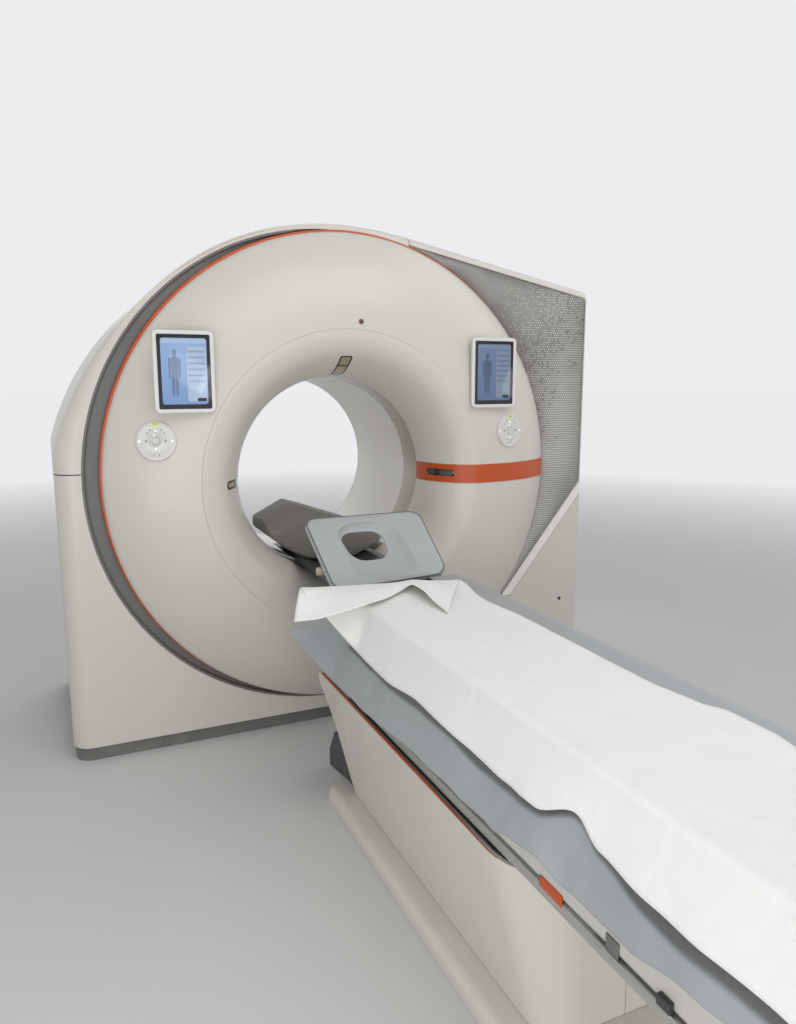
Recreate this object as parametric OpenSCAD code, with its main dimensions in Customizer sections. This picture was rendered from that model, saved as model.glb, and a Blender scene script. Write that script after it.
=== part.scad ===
// CT scanner: a wide ring-shaped gantry with an open bore, and a patient table in front of it.
// Millimetres, +Z up, +Y into the gantry. The origin lies on the floor below the bore's axis,
// in the scan plane.

/* [Bore and front] */
// Height of the bore's axis above the floor
iso_z = 1064; // [1050:1:1085]
// Radius of the patient bore
bore_r = 410; // [406:1:414]
// Outer radius of the funnel that leads into the bore
funnel_r = 593; // [570:1:610]
// How far the crest of the front stands ahead of the scan plane
crest_front = 334; // [320:1:345]
// How far the front lip of the bore stands ahead of the scan plane
lip_front = 75; // [65:1:85]
// Tight radius where the funnel turns out of the front
funnel_roll_r = 140; // [120:1:150]
// Radius of the round front cover
disc_r = 970; // [962:1:974]
// Sideways place of the front cover's middle
disc_x = 36; // [30:1:40]
// Height of the front cover's middle above the bore's axis
disc_up = 11; // [8:1:14]
// Radius of the arc that domes the front cover
dome_r = 560; // [540:1:580]
// Wall of the moulded covers
cover_t = 6; // [5:0.5:8]
// Width of the window ring that lets the beam through
window_w = 145; // [130:1:160]

/* [Housing] */
// Distance of the left wall from the bore's axis
left_w = 1093; // [1080:1:1110]
// Distance of the right wall from the bore's axis
right_w = 1250; // [1230:1:1270]
// Radius of the arch over the housing
arch_r = 1205; // [1195:1:1215]
// Slope of the top towards the right, in degrees
top_slope = 11.2; // [10:0.1:12]
// How far the housing's front edge stands ahead of the scan plane
face_front = 180; // [175:1:190]
// How far the rounding of the front edge reaches back
edge_depth = 75; // [60:1:90]
// How far the back of the housing stands behind the scan plane
back_y = 745; // [730:1:780]
// Height of the grey plinth under the covers
plinth_h = 55; // [45:1:65]
// Height of the seam between the lower and the upper cover
seam_z = 1120; // [1100:1:1140]
// Width of the joints between covers
joint_gap = 4; // [3:0.5:6]

/* [Table] */
// Height of the mattress's top above the floor
pad_top_z = 757; // [755:1:762]
// Thickness of the mattress
pad_t = 32; // [30:1:34]
// Half the width of the mattress
pad_half = 222; // [215:1:225]
// Head end of the mattress
pad_head_y = -830; // [-840:1:-825]
// Foot end of the mattress
pad_foot_y = -2980; // [-3000:1:-2950]
// Underside of the table's beam
beam_z = 476; // [470:1:482]
// Height of the table's beam
beam_h = 122; // [116:1:126]
// Half the width of the table's beam
beam_half = 265; // [258:1:268]
// Half the width of the table's foot
foot_half = 290; // [280:1:300]
// Highest lift of the table above its place in the photograph
lift_travel = 180; // [150:5:200]

/* [Interface] */
// Half the distance between the gantry's anchor bolts from left to right
anchor_half_x = 820; // [800:1:840]
// Distance between the gantry's anchor bolts from front to back
anchor_span_y = 660; // [640:1:680]
// Radius of the anchor holes
anchor_r = 9; // [7:0.5:10]

/* [Hidden] */

white = "#d8d4cd";
grey = "#74746f";
panel_grey = "#8b8a85";
orange = "#b84a14";
dark = "#2c2d2f";
steel = "#9a9da1";
cream = "#c9c2a8";
soft_grey = "#9aa0a3";

skin = 0.3;
crest_y = -crest_front;
lip_y = -lip_front;
face_y = -face_front;
window_end_y = lip_y + window_w;
disc_z = iso_z + disc_up;
liner_end_y = 640;
side_end_y = 640;

// Front cover: the dome's arc is flat at the funnel's ring and falls back towards the rim.
dome_centre_y = crest_y + dome_r;
rim_y = dome_centre_y - sqrt(dome_r * dome_r - (disc_r - funnel_r) * (disc_r - funnel_r));
rim_lip = 2;
band_turn = asin((disc_r - funnel_r - 8) / dome_r);

// Funnel: a tight arc at the ring runs on into a wide arc that ends along the bore.
funnel_w = funnel_r - bore_r;
funnel_h = crest_front - lip_front;
roll_gap_w = funnel_w - funnel_roll_r;
roll_gap_h = funnel_h - funnel_roll_r;
funnel_wide_r = (funnel_w * funnel_w + roll_gap_h * roll_gap_h - funnel_roll_r * funnel_roll_r)
    / (2 * roll_gap_w);
funnel_turn = atan2(funnel_wide_r - funnel_w, roll_gap_h);

// Rim band and accent ring around the front cover.
band_r = 970;
band_x = -30;
band_z = disc_z + 4;
band_floor_y = face_y + 22;
accent_x = disc_x - 5;
accent_z = disc_z + 5;
accent_t = 22;

// Housing outline: an arch, two upright walls and a sloping top.
arch_x = 70;
arch_z = 876;
edge_arch_x = band_x;
edge_arch_z = band_z;
edge_arch_r = band_r + 18;
edge_left = 1020;
edge_right = right_w - 15;
edge_steps = 4;
back_round = 40;
cover_bottom = plinth_h + skin;
plinth_wall = 14;
plinth_in = plinth_wall + 8;
rear_r = bore_r + 110;
top_seam_x = 323;

// Slanted trim at the lower right.
trim_top_z = 1000;
// The printed panel ends in a tip where the round front cover comes close to the trim.
panel_tip_z = 445;
trim_angle = 50.8;
trim_w = 42;
trim_drop = trim_w / cos(trim_angle);
panel_y0 = face_y + 4;

// Controls on the front, as places seen from the front.
panel_r = 72.5;
panel_x = 743;
panel_z = iso_z + 179;
panel_t = 6;
key_r = 14;
key_top = 7.5;
key_t = 4.5;
tablet_x = 640;
tablet_z = iso_z + 426;
tablet_w = 215;
tablet_h = 292;
tablet_t = 18;
tablet_back_y = crest_y - 2.3;
dock_w = 120;
dock_h = 170;
laser_r = 468;
laser_half_l = 43;
laser_half_w = 15;
sensor_x = 45;
sensor_z = iso_z + 622;

// Rotor and stator.
drum_in_r = bore_r + 25;
drum_out_r = 850;
drum_y = 130;
drum_t = 50;
race_y = 200;
race_t = 50;
ball_r = 12;
ball_ring_r = 615;
ball_count = 36;
groove_r = ball_r + 0.3;
outer_race_out = 660;
inner_race_in = 560;
stator_y = race_y + race_t;
stator_t = 80;
stator_r = 890;
slip_y = stator_y + stator_t + 20;
slip_t = 30;
slip_out_r = 710;
brush_low = 612;
tube_up = 640;
tube_r = 112;
frame_top_z = iso_z - stator_r + 20;
foot_front_y = -60;
foot_x = 700;

// Table.
pad_bottom_z = pad_top_z - pad_t;
top_under_r = bore_r - 14;
beam_top_z = beam_z + beam_h;
beam_head_y = -850;
beam_foot_y = pad_foot_y - 60;
pedestal_foot_y = -2030;
pedestal_head_y = -700;
pedestal_top_z = beam_z - 36;
pedestal_bottom_z = 48;
pedestal_top_half = 280;
pedestal_bottom_half = 216;
column_ys = [-1150, -1750];
column_half = 90;
rail_x = 150;
rail_half = 20;
rail_top_z = iso_z - sqrt(top_under_r * top_under_r - (rail_x - rail_half) * (rail_x - rail_half))
    - skin;
tray_top_z = pad_bottom_z - 10;
tray_t = 14;
tray_end_y = 220;
rest_tilt = 28.8;
rest_pivot_y = -630;
rest_pivot_z = 782;
rest_front_y = -800;
rest_l = 395;
rest_half = 240;
rest_t = 36;

function lerp(a, b, t) = a + (b - a) * t;
function reversed(list) = [for (i = [len(list) - 1:-1:0]) list[i]];
function tail(list) = [for (i = [1:len(list) - 1]) list[i]];
function arc(cx, cy, r, a0, a1, n) =
    [for (i = [0:n]) [cx + r * cos(lerp(a0, a1, i / n)), cy + r * sin(lerp(a0, a1, i / n))]];

// Turns a profile drawn as (radius, depth) about an axis along Y.
module turned(x, z, fn = 180) {
    translate([x, 0, z]) rotate([-90, 0, 0]) rotate_extrude($fn = fn) children();
}
// Extrudes a shape drawn as (x, z) along Y, between two depths.
module along_y(y0, y1) {
    translate([0, y1, 0]) rotate([90, 0, 0]) linear_extrude(y1 - y0) children();
}
// Extrudes a shape drawn as (y, z) along X, between two sides.
module along_x(x0, x1) {
    translate([x0, 0, 0]) rotate([90, 0, 90]) linear_extrude(x1 - x0) children();
}
module ring_y(r_in, r_out, y0, y1, x = 0, z = iso_z) {
    turned(x, z) translate([r_in, y0]) square([r_out - r_in, y1 - y0]);
}
module disc_y(r, y0, y1, x = 0, z = iso_z) {
    turned(x, z) translate([0, y0]) square([r, y1 - y0]);
}
module box(low, high) {
    translate(low) cube(high - low);
}
module rounded_square(low, high, r) {
    size = high - low;
    translate([low[0] + r, low[1]]) square([size[0] - 2 * r, size[1]]);
    translate([low[0], low[1] + r]) square([size[0], size[1] - 2 * r]);
    for (x = [low[0] + r, high[0] - r]) for (y = [low[1] + r, high[1] - r])
        translate([x, y]) circle(r = r, $fn = 32);
}

// Front cover and funnel surfaces, grown outwards by the given amount.
module dome_section(grow, thick) {
    intersection() {
        difference() {
            translate([funnel_r, dome_centre_y]) circle(r = dome_r + grow, $fn = 360);
            translate([funnel_r, dome_centre_y]) circle(r = dome_r + grow - thick, $fn = 360);
        }
        translate([funnel_r, crest_y - 20]) square([disc_r - funnel_r, 400]);
    }
    translate([funnel_r - 60, crest_y - grow]) square([60, thick]);
}
module dome_solid(grow) {
    turned(disc_x, disc_z, 360) dome_section(grow, 120);
}
function funnel_curve(grow) = concat(
    arc(funnel_r, crest_y + funnel_roll_r, funnel_roll_r + grow, -90, -90 - funnel_turn, 9),
    tail(arc(bore_r + funnel_wide_r, lip_y, funnel_wide_r + grow, -90 - funnel_turn, -180, 12)));
module funnel_section(grow, thick) {
    outer = funnel_curve(grow);
    inner = funnel_curve(grow - thick);
    polygon(concat(outer, reversed(inner)));
}

// Puts things on the dome, seated on its surface with +Z along its outward normal.
function dome_dist(x, z) = norm([x - disc_x, z - disc_z]);
function dome_tilt(x, z) = asin((dome_dist(x, z) - funnel_r) / dome_r);
function dome_depth(x, z) = dome_centre_y - dome_r * cos(dome_tilt(x, z));
module on_dome(x, z) {
    turn = atan2(z - disc_z, x - disc_x);
    translate([x, dome_depth(x, z), z])
        rotate(a = dome_tilt(x, z), v = [-sin(turn), 0, cos(turn)])
            rotate([90, 0, 0]) children();
}

// Housing outline at a stage of the edge rounding: 0 at the front edge, 1 at full size.
module housing_outline(stage, inset) {
    cx = lerp(edge_arch_x, arch_x, stage);
    cz = lerp(edge_arch_z, arch_z, stage);
    r = lerp(edge_arch_r, arch_r, stage) - inset;
    left = lerp(edge_left, left_w, stage) - inset;
    right = lerp(edge_right, right_w, stage) - inset;
    top = [cx + r * sin(top_slope), cz + r * cos(top_slope)];
    left_z = cz + sqrt(r * r - min(r * r, (left + cx) * (left + cx)));
    right_z = top[1] - (right - top[0]) * tan(top_slope);
    polygon([[-left, 0], [-left, left_z], [cx, cz + r * 0.7], top, [right, right_z], [right, 0]]);
    intersection() {
        translate([cx, cz]) circle(r = r, $fn = 96);
        translate([-left, 0]) square([left + cx + r, cz + 2 * r]);
    }
}
module housing_slice(stage, inset, y) {
    along_y(y, y + 0.5) housing_outline(stage, inset);
}
module housing_solid(inset) {
    hull() {
        for (i = [0:edge_steps])
            housing_slice(sin(90 * i / edge_steps), inset,
                face_y + inset + edge_depth * (1 - cos(90 * i / edge_steps)));
        housing_slice(1, inset, back_y - back_round - inset);
        housing_slice(0.85, inset, back_y - back_round * 0.25 - inset);
        housing_slice(0.6, inset, back_y - 0.5 - inset);
    }
}
// The hollow housing between two depths, within an outline drawn as (x, z).
module housing_shell(y0, y1) {
    difference() {
        intersection() {
            housing_solid(0);
            along_y(y0, y1) children();
        }
        housing_solid(cover_t);
    }
}
module above(z) {
    translate([-1500, z]) square([3000, 3000 - z]);
}
module x_range(x0, x1) {
    translate([x0, cover_bottom]) square([x1 - x0, 2500]);
}
// The area above the slanted trim's upper edge, moved down by the given amount.
module above_trim(drop) {
    at = [right_w, trim_top_z - drop];
    polygon([at + 2500 * [-cos(trim_angle), -sin(trim_angle)], at + 500 * [cos(trim_angle),
        sin(trim_angle)], [right_w + 900, 3000], [-2500, 3000]]);
}
// The opening in the housing's front: it clears the grey band and the accent ring.
module band_hole(grow = 0) {
    translate([band_x, band_z]) circle(r = band_r + grow, $fn = 180);
    translate([accent_x, accent_z]) circle(r = disc_r + 0.5 + grow, $fn = 180);
}

module left_lower_cover() {
    color(white) difference() {
        housing_shell(face_y - 1, side_end_y) difference() {
            x_range(-1200, -2);
            above(seam_z - joint_gap / 2);
        }
        along_y(face_y - 2, face_y + 30) band_hole();
    }
}
module right_lower_cover() {
    color(white) difference() {
        housing_shell(face_y - 1, side_end_y) difference() {
            x_range(2, 1400);
            intersection() {
                above_trim(trim_drop + joint_gap);
                above(panel_tip_z);
            }
        }
        along_y(face_y - 2, face_y + 30) band_hole();
        // The key lock that frees the side cover.
        along_y(face_y - 2, face_y + 30) translate([1140, 400]) circle(r = 9, $fn = 24);
    }
}
module arch_cover() {
    color(white) difference() {
        housing_shell(face_y - 1, side_end_y) difference() {
            x_range(-1200, top_seam_x - joint_gap / 2);
            translate([-1500, 0]) square([3000, seam_z + joint_gap / 2]);
        }
        along_y(face_y - 2, face_y + 30) band_hole();
    }
}
module right_top_cover() {
    color(white) difference() {
        housing_shell(face_y - 1, side_end_y) intersection() {
            x_range(top_seam_x + joint_gap / 2, 1400);
            above_trim(0);
            above(panel_tip_z + joint_gap);
        }
        along_y(face_y - 2, face_y + 30) intersection() {
            housing_outline(0, 5);
            above_trim(-2);
            above(panel_tip_z + joint_gap + 2);
        }
        along_y(face_y - 2, face_y + 30) band_hole();
    }
}
module slanted_trim() {
    color(white) difference() {
        housing_shell(face_y - 1, side_end_y) difference() {
            intersection() {
                x_range(2, 1400);
                above_trim(trim_drop);
                above(panel_tip_z + joint_gap);
            }
            above_trim(joint_gap);
        }
        along_y(face_y - 2, face_y + 30) band_hole();
    }
}
module printed_panel() {
    color(panel_grey) along_y(panel_y0, panel_y0 + 5) difference() {
        intersection() {
            housing_outline(0, 5 + skin);
            above_trim(-2.5);
            above(panel_tip_z + joint_gap + 2 + skin);
            x_range(top_seam_x + joint_gap, 1400);
        }
        band_hole(0.5);
    }
}
module rim_band() {
    color(grey) difference() {
        union() {
            ring_y(band_r - 9, band_r - skin, face_y + 1, band_floor_y + 30, band_x, band_z);
            ring_y(band_r - 120, band_r - skin, band_floor_y, band_floor_y + 4, band_x, band_z);
        }
        disc_y(disc_r + skin, face_y, band_floor_y, accent_x, accent_z);
    }
}
module accent_ring() {
    color(orange) ring_y(disc_r - 26, disc_r, rim_y + rim_lip + skin, band_floor_y - skin,
        accent_x, accent_z);
}
module front_cover() {
    color(white) difference() {
        intersection() {
            turned(disc_x, disc_z, 360) dome_section(0, cover_t);
            disc_y(disc_r, crest_y - 1, rim_y + rim_lip, disc_x, disc_z);
        }
        disc_y(funnel_r + skin, crest_y - 2, crest_y + cover_t + 4);
    }
}
// Slots for the positioning lights: one at the top of the funnel and one at each side.
module laser_slots(grow, y0, y1) {
    for (turn = [0, 90, 180])
        translate([0, 0, iso_z]) rotate([0, -turn, 0]) along_y(y0, y1)
            rounded_square([laser_r - laser_half_l - grow, -laser_half_w - grow],
                [laser_r + laser_half_l + grow, laser_half_w + grow], laser_half_w - 1);
}
module funnel() {
    color(white) difference() {
        turned(0, iso_z, 360) funnel_section(0, cover_t);
        laser_slots(skin, crest_y, 0);
    }
}
module funnel_solid(grow) {
    curve = funnel_curve(grow);
    turned(0, iso_z, 360) polygon(concat(curve, [[curve[len(curve) - 1][0], 80], [funnel_r, 80]]));
}
module laser_windows() {
    color(dark) difference() {
        intersection() {
            laser_slots(0, crest_y, 0);
            funnel_solid(-1);
        }
        funnel_solid(-cover_t);
    }
}
// The band follows the funnel and the dome as one profile, a little proud of both.
function band_curve(grow) = concat(reversed(funnel_curve(grow)),
    arc(funnel_r + disc_x, dome_centre_y, dome_r + grow, -90, -90 + band_turn, 16));
module band_solid(grow) {
    curve = band_curve(grow);
    last = curve[len(curve) - 1];
    turned(0, iso_z, 360) polygon(concat(curve, [last + [60, 0], [last[0] + 60, 80],
        [curve[0][0], 80]]));
}
module accent_band() {
    end_x = disc_x + funnel_r + dome_r * sin(band_turn);
    color(orange) difference() {
        intersection() {
            band_solid(2.4);
            box([bore_r - 20, crest_y - 10, iso_z - 42], [end_x, lip_y, iso_z + 38]);
        }
        band_solid(1);
        laser_slots(2, crest_y - 10, 0);
    }
}
module window_ring() {
    color("#a89f86", 0.8) ring_y(bore_r, bore_r + 4, lip_y + skin, window_end_y - skin);
}
module bore_liner() {
    color(white) ring_y(bore_r, bore_r + cover_t, window_end_y, liner_end_y - skin);
}
module rear_cover() {
    slot_n = 10;
    color(white) difference() {
        housing_shell(side_end_y + joint_gap, back_y + 1) x_range(-1200, 1400);
        disc_y(rear_r + skin, back_y - 60, back_y + 2);
        for (side = [-1, 1]) for (i = [0:slot_n - 1])
            box([side * 620 - 170, back_y - 40, 180 + 26 * i], [side * 620 + 170, back_y + 2,
                190 + 26 * i]);
    }
}
module rear_funnel() {
    outer = arc(rear_r, liner_end_y, rear_r - bore_r, 180, 90, 10);
    inner = arc(rear_r, liner_end_y, rear_r - bore_r - cover_t, 180, 90, 10);
    color(white) turned(0, iso_z, 360) polygon(concat(outer, reversed(inner)));
}
module status_sensor() {
    color("#5a1a16") on_dome(sensor_x, sensor_z) translate([0, 0, skin])
        cylinder(r = 8, h = 2.5, $fn = 32);
}
module control_panel(side) {
    color("#dedbd6") difference() {
        on_dome(side * panel_x, panel_z) translate([0, 0, -7]) difference() {
            cylinder(r = panel_r, h = panel_t + 7, $fn = 96);
            cylinder(r = key_r + skin, h = panel_t + 8, $fn = 48);
        }
        dome_solid(skin);
    }
}
module centre_key(side) {
    color("#cfccc6") on_dome(side * panel_x, panel_z) translate([0, 0, key_top - key_t])
        cylinder(r = key_r, h = key_t, $fn = 48);
}
module tablet_dock(side) {
    at = [side * tablet_x, tablet_z];
    color(white) difference() {
        along_y(tablet_back_y + skin, crest_y + 60)
            rounded_square(at - [dock_w, dock_h] / 2, at + [dock_w, dock_h] / 2, 14);
        dome_solid(skin);
    }
}
module tablet(side) {
    at = [side * tablet_x, tablet_z];
    front = tablet_back_y - tablet_t;
    color("#e4e3df") difference() {
        along_y(front, tablet_back_y)
            rounded_square(at - [tablet_w, tablet_h] / 2, at + [tablet_w, tablet_h] / 2, 16);
        along_y(front - 1, front + 1.2)
            rounded_square(at - [tablet_w - 30, tablet_h - 36] / 2,
                at + [tablet_w - 30, tablet_h - 36] / 2, 6);
    }
}

// Frame, bearing and drive inside the gantry.
module base_frame() {
    rail_w = 120;
    color(steel) {
        difference() {
            union() {
                box([-foot_x - rail_w / 2, stator_y - 20, 60], [foot_x + rail_w / 2,
                    stator_y + stator_t + 20, frame_top_z]);
                for (side = [-1, 1]) {
                    box([side * foot_x - rail_w / 2, foot_front_y - 40, 60], [side * foot_x
                        + rail_w / 2, foot_front_y + anchor_span_y + 40, frame_top_z]);
                    // Each foot plate carries an anchor bolt and reaches out to hold the plinth.
                    for (y = [foot_front_y, foot_front_y + anchor_span_y]) {
                        translate([side * foot_x, y, 0]) cylinder(r = 50, h = 61, $fn = 48);
                        box([side > 0 ? foot_x : -left_w + plinth_in + skin, y - 45, 0],
                            [side > 0 ? right_w - plinth_in - skin : -foot_x, y + 45, 20]);
                    }
                }
                cylinder(r = 50, h = 61, $fn = 48);
                box([-60, -60, 60], [60, stator_y, 170]);
            }
            for (x = [-anchor_half_x, anchor_half_x])
                for (y = [foot_front_y, foot_front_y + anchor_span_y])
                    translate([x, y, -1]) cylinder(r = anchor_r, h = 22, $fn = 32);
        }
    }
}
module stator_frame() {
    leg = 560;
    color(steel) difference() {
        union() {
            disc_y(stator_r, stator_y, stator_y + stator_t);
            box([-leg, stator_y, frame_top_z], [leg, stator_y + stator_t, iso_z - 500]);
        }
        disc_y(outer_race_out + 0.05, stator_y - 60, stator_y + stator_t + 1);
        for (a = [0:30:330])
            translate([0, 0, iso_z]) rotate([0, a, 0])
                along_y(stator_y + 30, stator_y + stator_t + 1)
                    translate([775, 0]) circle(r = 70, $fn = 48);
        box([-leg - 1, stator_y - 1, frame_top_z - 400], [leg + 1, stator_y + stator_t + 1,
            frame_top_z]);
    }
}
module bearing_outer_race() {
    shoulder = ball_ring_r + 6;
    color("#b9bcc0") difference() {
        ring_y(shoulder, outer_race_out, race_y, stator_y + 12);
        turned(0, iso_z) translate([ball_ring_r, race_y + race_t / 2]) circle(r = groove_r, $fn = 48);
    }
}
module bearing_inner_race() {
    shoulder = ball_ring_r - 6;
    color("#b9bcc0") difference() {
        ring_y(inner_race_in, shoulder, drum_y + drum_t, slip_y);
        turned(0, iso_z) translate([ball_ring_r, race_y + race_t / 2]) circle(r = groove_r, $fn = 48);
    }
}
module bearing_balls() {
    color("#cfd2d6") for (i = [0:ball_count - 1])
        translate([0, 0, iso_z]) rotate([0, 360 * i / ball_count, 0])
            translate([ball_ring_r, race_y + race_t / 2, 0]) sphere(r = ball_r, $fn = 24);
}
module drive_stator() {
    color("#7a4a2c") for (a = [0:30:330])
        translate([0, 0, iso_z]) rotate([0, a, 0]) intersection() {
            translate([0, 0, -iso_z]) ring_y(770, 810, race_y - 5, stator_y);
            box([700, race_y - 10, -190], [820, stator_y + 10, 190]);
        }
}
module magnet_ring() {
    color("#5c6068") ring_y(738, 766, drum_y + drum_t, stator_y - 20);
}
module slip_ring() {
    color("#b0733a") difference() {
        ring_y(inner_race_in, slip_out_r, slip_y, slip_y + slip_t);
        for (r = [600:20:680])
            ring_y(r, r + 8, slip_y - 1, slip_y + 3);
    }
}
module brush_block() {
    color(dark) {
        box([-60, slip_y - 8, iso_z + brush_low], [60, slip_y - skin, iso_z + slip_out_r - 4]);
        box([-60, stator_y + stator_t, iso_z + brush_low + 60], [60, slip_y - 7,
            iso_z + slip_out_r - 4]);
    }
}
module rotor_drum() {
    color("#a7abb0") difference() {
        union() {
            ring_y(drum_in_r, drum_out_r, drum_y, drum_y + drum_t);
            ring_y(drum_in_r, drum_in_r + 10, -60, drum_y + 1);
            ring_y(drum_out_r - 12, drum_out_r, -40, drum_y + 1);
        }
        // The beam's fan passes the inner collar through a slot above and a wide one below.
        box([-72, -16, iso_z + 400], [72, 16, iso_z + 450]);
        box([-450, -16, iso_z - 450], [450, 16, iso_z - 190]);
        for (a = [0:30:330])
            translate([0, 0, iso_z]) rotate([0, a + 15, 0]) along_y(drum_y - 1, drum_y + drum_t + 1)
                translate([690, 0]) circle(r = 36, $fn = 48);
    }
}
module xray_tube() {
    color("#8e9298") {
        turned(0, iso_z + tube_up) polygon([[0, -110], [60, -110], [78, -95], [tube_r, -70],
            [tube_r, 60], [90, 80], [90, drum_y], [0, drum_y]]);
        translate([-95, -55, iso_z + tube_up - 80]) cube([190, 110, 60]);
    }
}
module collimator() {
    low_z = iso_z + drum_in_r + 13;
    high_z = iso_z + tube_up - tube_r - skin;
    color("#5f646b") difference() {
        union() {
            box([-80, -45, low_z], [80, 45, high_z]);
            box([-60, 44, low_z + 20], [60, drum_y, high_z - 10]);
        }
        box([-62, -14, low_z - 1], [62, 14, high_z + 1]);
    }
}
module detector_arc() {
    reach = 1100;
    half_angle = 26;
    color("#4d5157") intersection() {
        turned(0, iso_z + tube_up, 360) polygon([[reach, -60], [reach + 60, -60], [reach + 60, -40],
            [reach + 80, -40], [reach + 80, drum_y], [reach + 20, drum_y], [reach + 20, 60],
            [reach, 60]]);
        along_y(-61, drum_y + 1) translate([0, iso_z + tube_up]) polygon([[0, 0],
            [-1400 * sin(half_angle), -1400 * cos(half_angle)],
            [1400 * sin(half_angle), -1400 * cos(half_angle)]]);
    }
}
module generators() {
    color("#6d7177") for (side = [-1, 1])
        difference() {
            box([side > 0 ? 500 : -780, -90, iso_z - 150], [side > 0 ? 780 : -500, drum_y,
                iso_z + 150]);
            for (i = [0:5])
                box([side > 0 ? 520 : -760, -91, iso_z - 130 + 46 * i], [side > 0 ? 760 : -520, -82,
                    iso_z - 110 + 46 * i]);
        }
}
module balance_weight() {
    color("#5a5e63") for (side = [-1, 1])
        translate([0, 0, iso_z]) rotate([0, side * 45 - 90, 0]) intersection() {
            translate([0, 0, -iso_z]) ring_y(640, 820, 40, drum_y);
            box([600, 30, -90], [830, drum_y + 10, 90]);
        }
}
module base_plinth() {
    low = [-left_w + plinth_in - plinth_wall, face_y + 14];
    high = [right_w - plinth_in + plinth_wall, back_y - 10];
    color(grey) linear_extrude(plinth_h) difference() {
        rounded_square(low, high, 60);
        rounded_square(low + [plinth_wall, plinth_wall], high - [plinth_wall, plinth_wall],
            60 - plinth_wall);
    }
}

// Table.
module pedestal_slice(half, z, inset, foot_r) {
    translate([0, 0, z]) linear_extrude(0.5)
        rounded_square([-half + inset, pedestal_foot_y + inset], [half - inset, -500], foot_r - inset);
}
module pedestal_solid(inset) {
    hull() {
        pedestal_slice(pedestal_bottom_half, pedestal_bottom_z, inset, 90);
        pedestal_slice(pedestal_top_half, pedestal_top_z - 0.5, inset, 150);
    }
}
// Side view of a pedestal panel: a nose at the top, stepped back towards the floor.
module pedestal_profile() {
    difference() {
        polygon([[pedestal_head_y, pedestal_top_z], [pedestal_head_y, 395], [-805, 275],
            [-850, 170], [-900, pedestal_bottom_z], [pedestal_foot_y - 5, pedestal_bottom_z],
            [pedestal_foot_y - 5, pedestal_top_z]]);
        difference() {
            translate([pedestal_head_y - 30, pedestal_top_z - 30]) square([31, 31]);
            translate([pedestal_head_y - 30, pedestal_top_z - 30]) circle(r = 30, $fn = 48);
        }
    }
}
module pedestal_panel(side) {
    color(white) difference() {
        intersection() {
            pedestal_solid(0);
            along_x(side > 0 ? 1 : -400, side > 0 ? 400 : -1) pedestal_profile();
        }
        intersection() {
            pedestal_solid(12);
            box([-400, pedestal_foot_y, 0], [400, -400, pedestal_top_z + 1]);
        }
    }
}
module table_accent_line() {
    color(orange) intersection() {
        difference() {
            translate([0, 0, 6.3]) pedestal_solid(0.5);
            translate([0, 0, 6.3]) pedestal_solid(12);
        }
        union() {
            box([-400, -1915, pedestal_top_z + skin], [-150, pedestal_head_y - 30,
                pedestal_top_z + 6.3]);
            box([150, -1915, pedestal_top_z + skin], [400, pedestal_head_y - 30,
                pedestal_top_z + 6.3]);
        }
    }
}
module floor_plinth() {
    color(white) difference() {
        union() {
            linear_extrude(34) rounded_square([-foot_half, -2110], [foot_half, -770], 70);
            translate([0, 0, 33]) linear_extrude(9)
                rounded_square([-foot_half + 9, -2101], [foot_half - 9, -779], 61);
            translate([0, 0, 41]) linear_extrude(7 - skin)
                rounded_square([-foot_half + 24, -2086], [foot_half - 24, -794], 46);
        }
        for (x = [-180, 180]) for (y = [-860, -1980])
            translate([x, y, -1]) cylinder(r = anchor_r, h = 60, $fn = 32);
    }
}
module lift_outer_columns() {
    color(steel) for (y = column_ys) difference() {
        translate([-column_half, y - column_half, 48]) cube([2 * column_half, 2 * column_half, 290]);
        translate([-column_half + 8, y - column_half + 8, 60])
            cube([2 * column_half - 16, 2 * column_half - 16, 290]);
        translate([0, y, 40]) cylinder(r = 16, h = 30, $fn = 48);
    }
}
module lift_inner_columns() {
    play = 8 + 0.6;
    half = column_half - play;
    color("#b4b7bb") for (y = column_ys) difference() {
        translate([-half, y - half, 80]) cube([2 * half, 2 * half, beam_z - 80]);
        translate([-half + 6, y - half + 6, 110]) cube([2 * half - 12, 2 * half - 12, beam_z - 116]);
        translate([0, y, 70]) cylinder(r = 14.05, h = 50, $fn = 48);
    }
}
module lift_spindle() {
    color(steel) translate([0, column_ys[0], 0]) {
        translate([0, 0, 50]) cylinder(r = 14, h = 300, $fn = 48);
        translate([0, 0, 60 + skin]) cylinder(r = 40, h = 14, $fn = 48);
    }
}
module link_bracket() {
    color("#4b4b49") for (x = [-205, 185])
        along_x(x, x + 20) polygon([[-790, 48], [-600, 12], [-600, 78], [-660, 172], [-880, 172],
            [-880, 48]]);
}
module skirt() {
    low_z = 300;
    color(grey) translate([0, 0, low_z]) linear_extrude(beam_z - low_z) difference() {
        rounded_square([-beam_half + 21, -1990], [beam_half - 21, beam_head_y + 20], 110);
        rounded_square([-beam_half + 27, -1984], [beam_half - 27, beam_head_y + 14], 104);
    }
}
module table_beam() {
    wall = 10;
    color(white) {
        difference() {
            along_y(beam_foot_y, beam_head_y) difference() {
                rounded_square([-beam_half, beam_z], [beam_half, beam_top_z], 18);
                translate([-beam_half + wall, beam_z + 30])
                    square([2 * beam_half - 2 * wall, beam_h - 30 - wall]);
            }
            translate([-120, -2600, beam_top_z - 20]) cube([240, 1400, 30]);
        }
        for (y = [beam_foot_y, beam_head_y - 12])
            along_y(y, y + 12) rounded_square([-beam_half, beam_z], [beam_half, beam_top_z], 18);
    }
    color(steel) for (side = [-1, 1])
        box([side * rail_x - rail_half, beam_foot_y + 30, beam_top_z - 1], [side * rail_x
            + rail_half, beam_head_y - 30, rail_top_z]);
}
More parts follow.
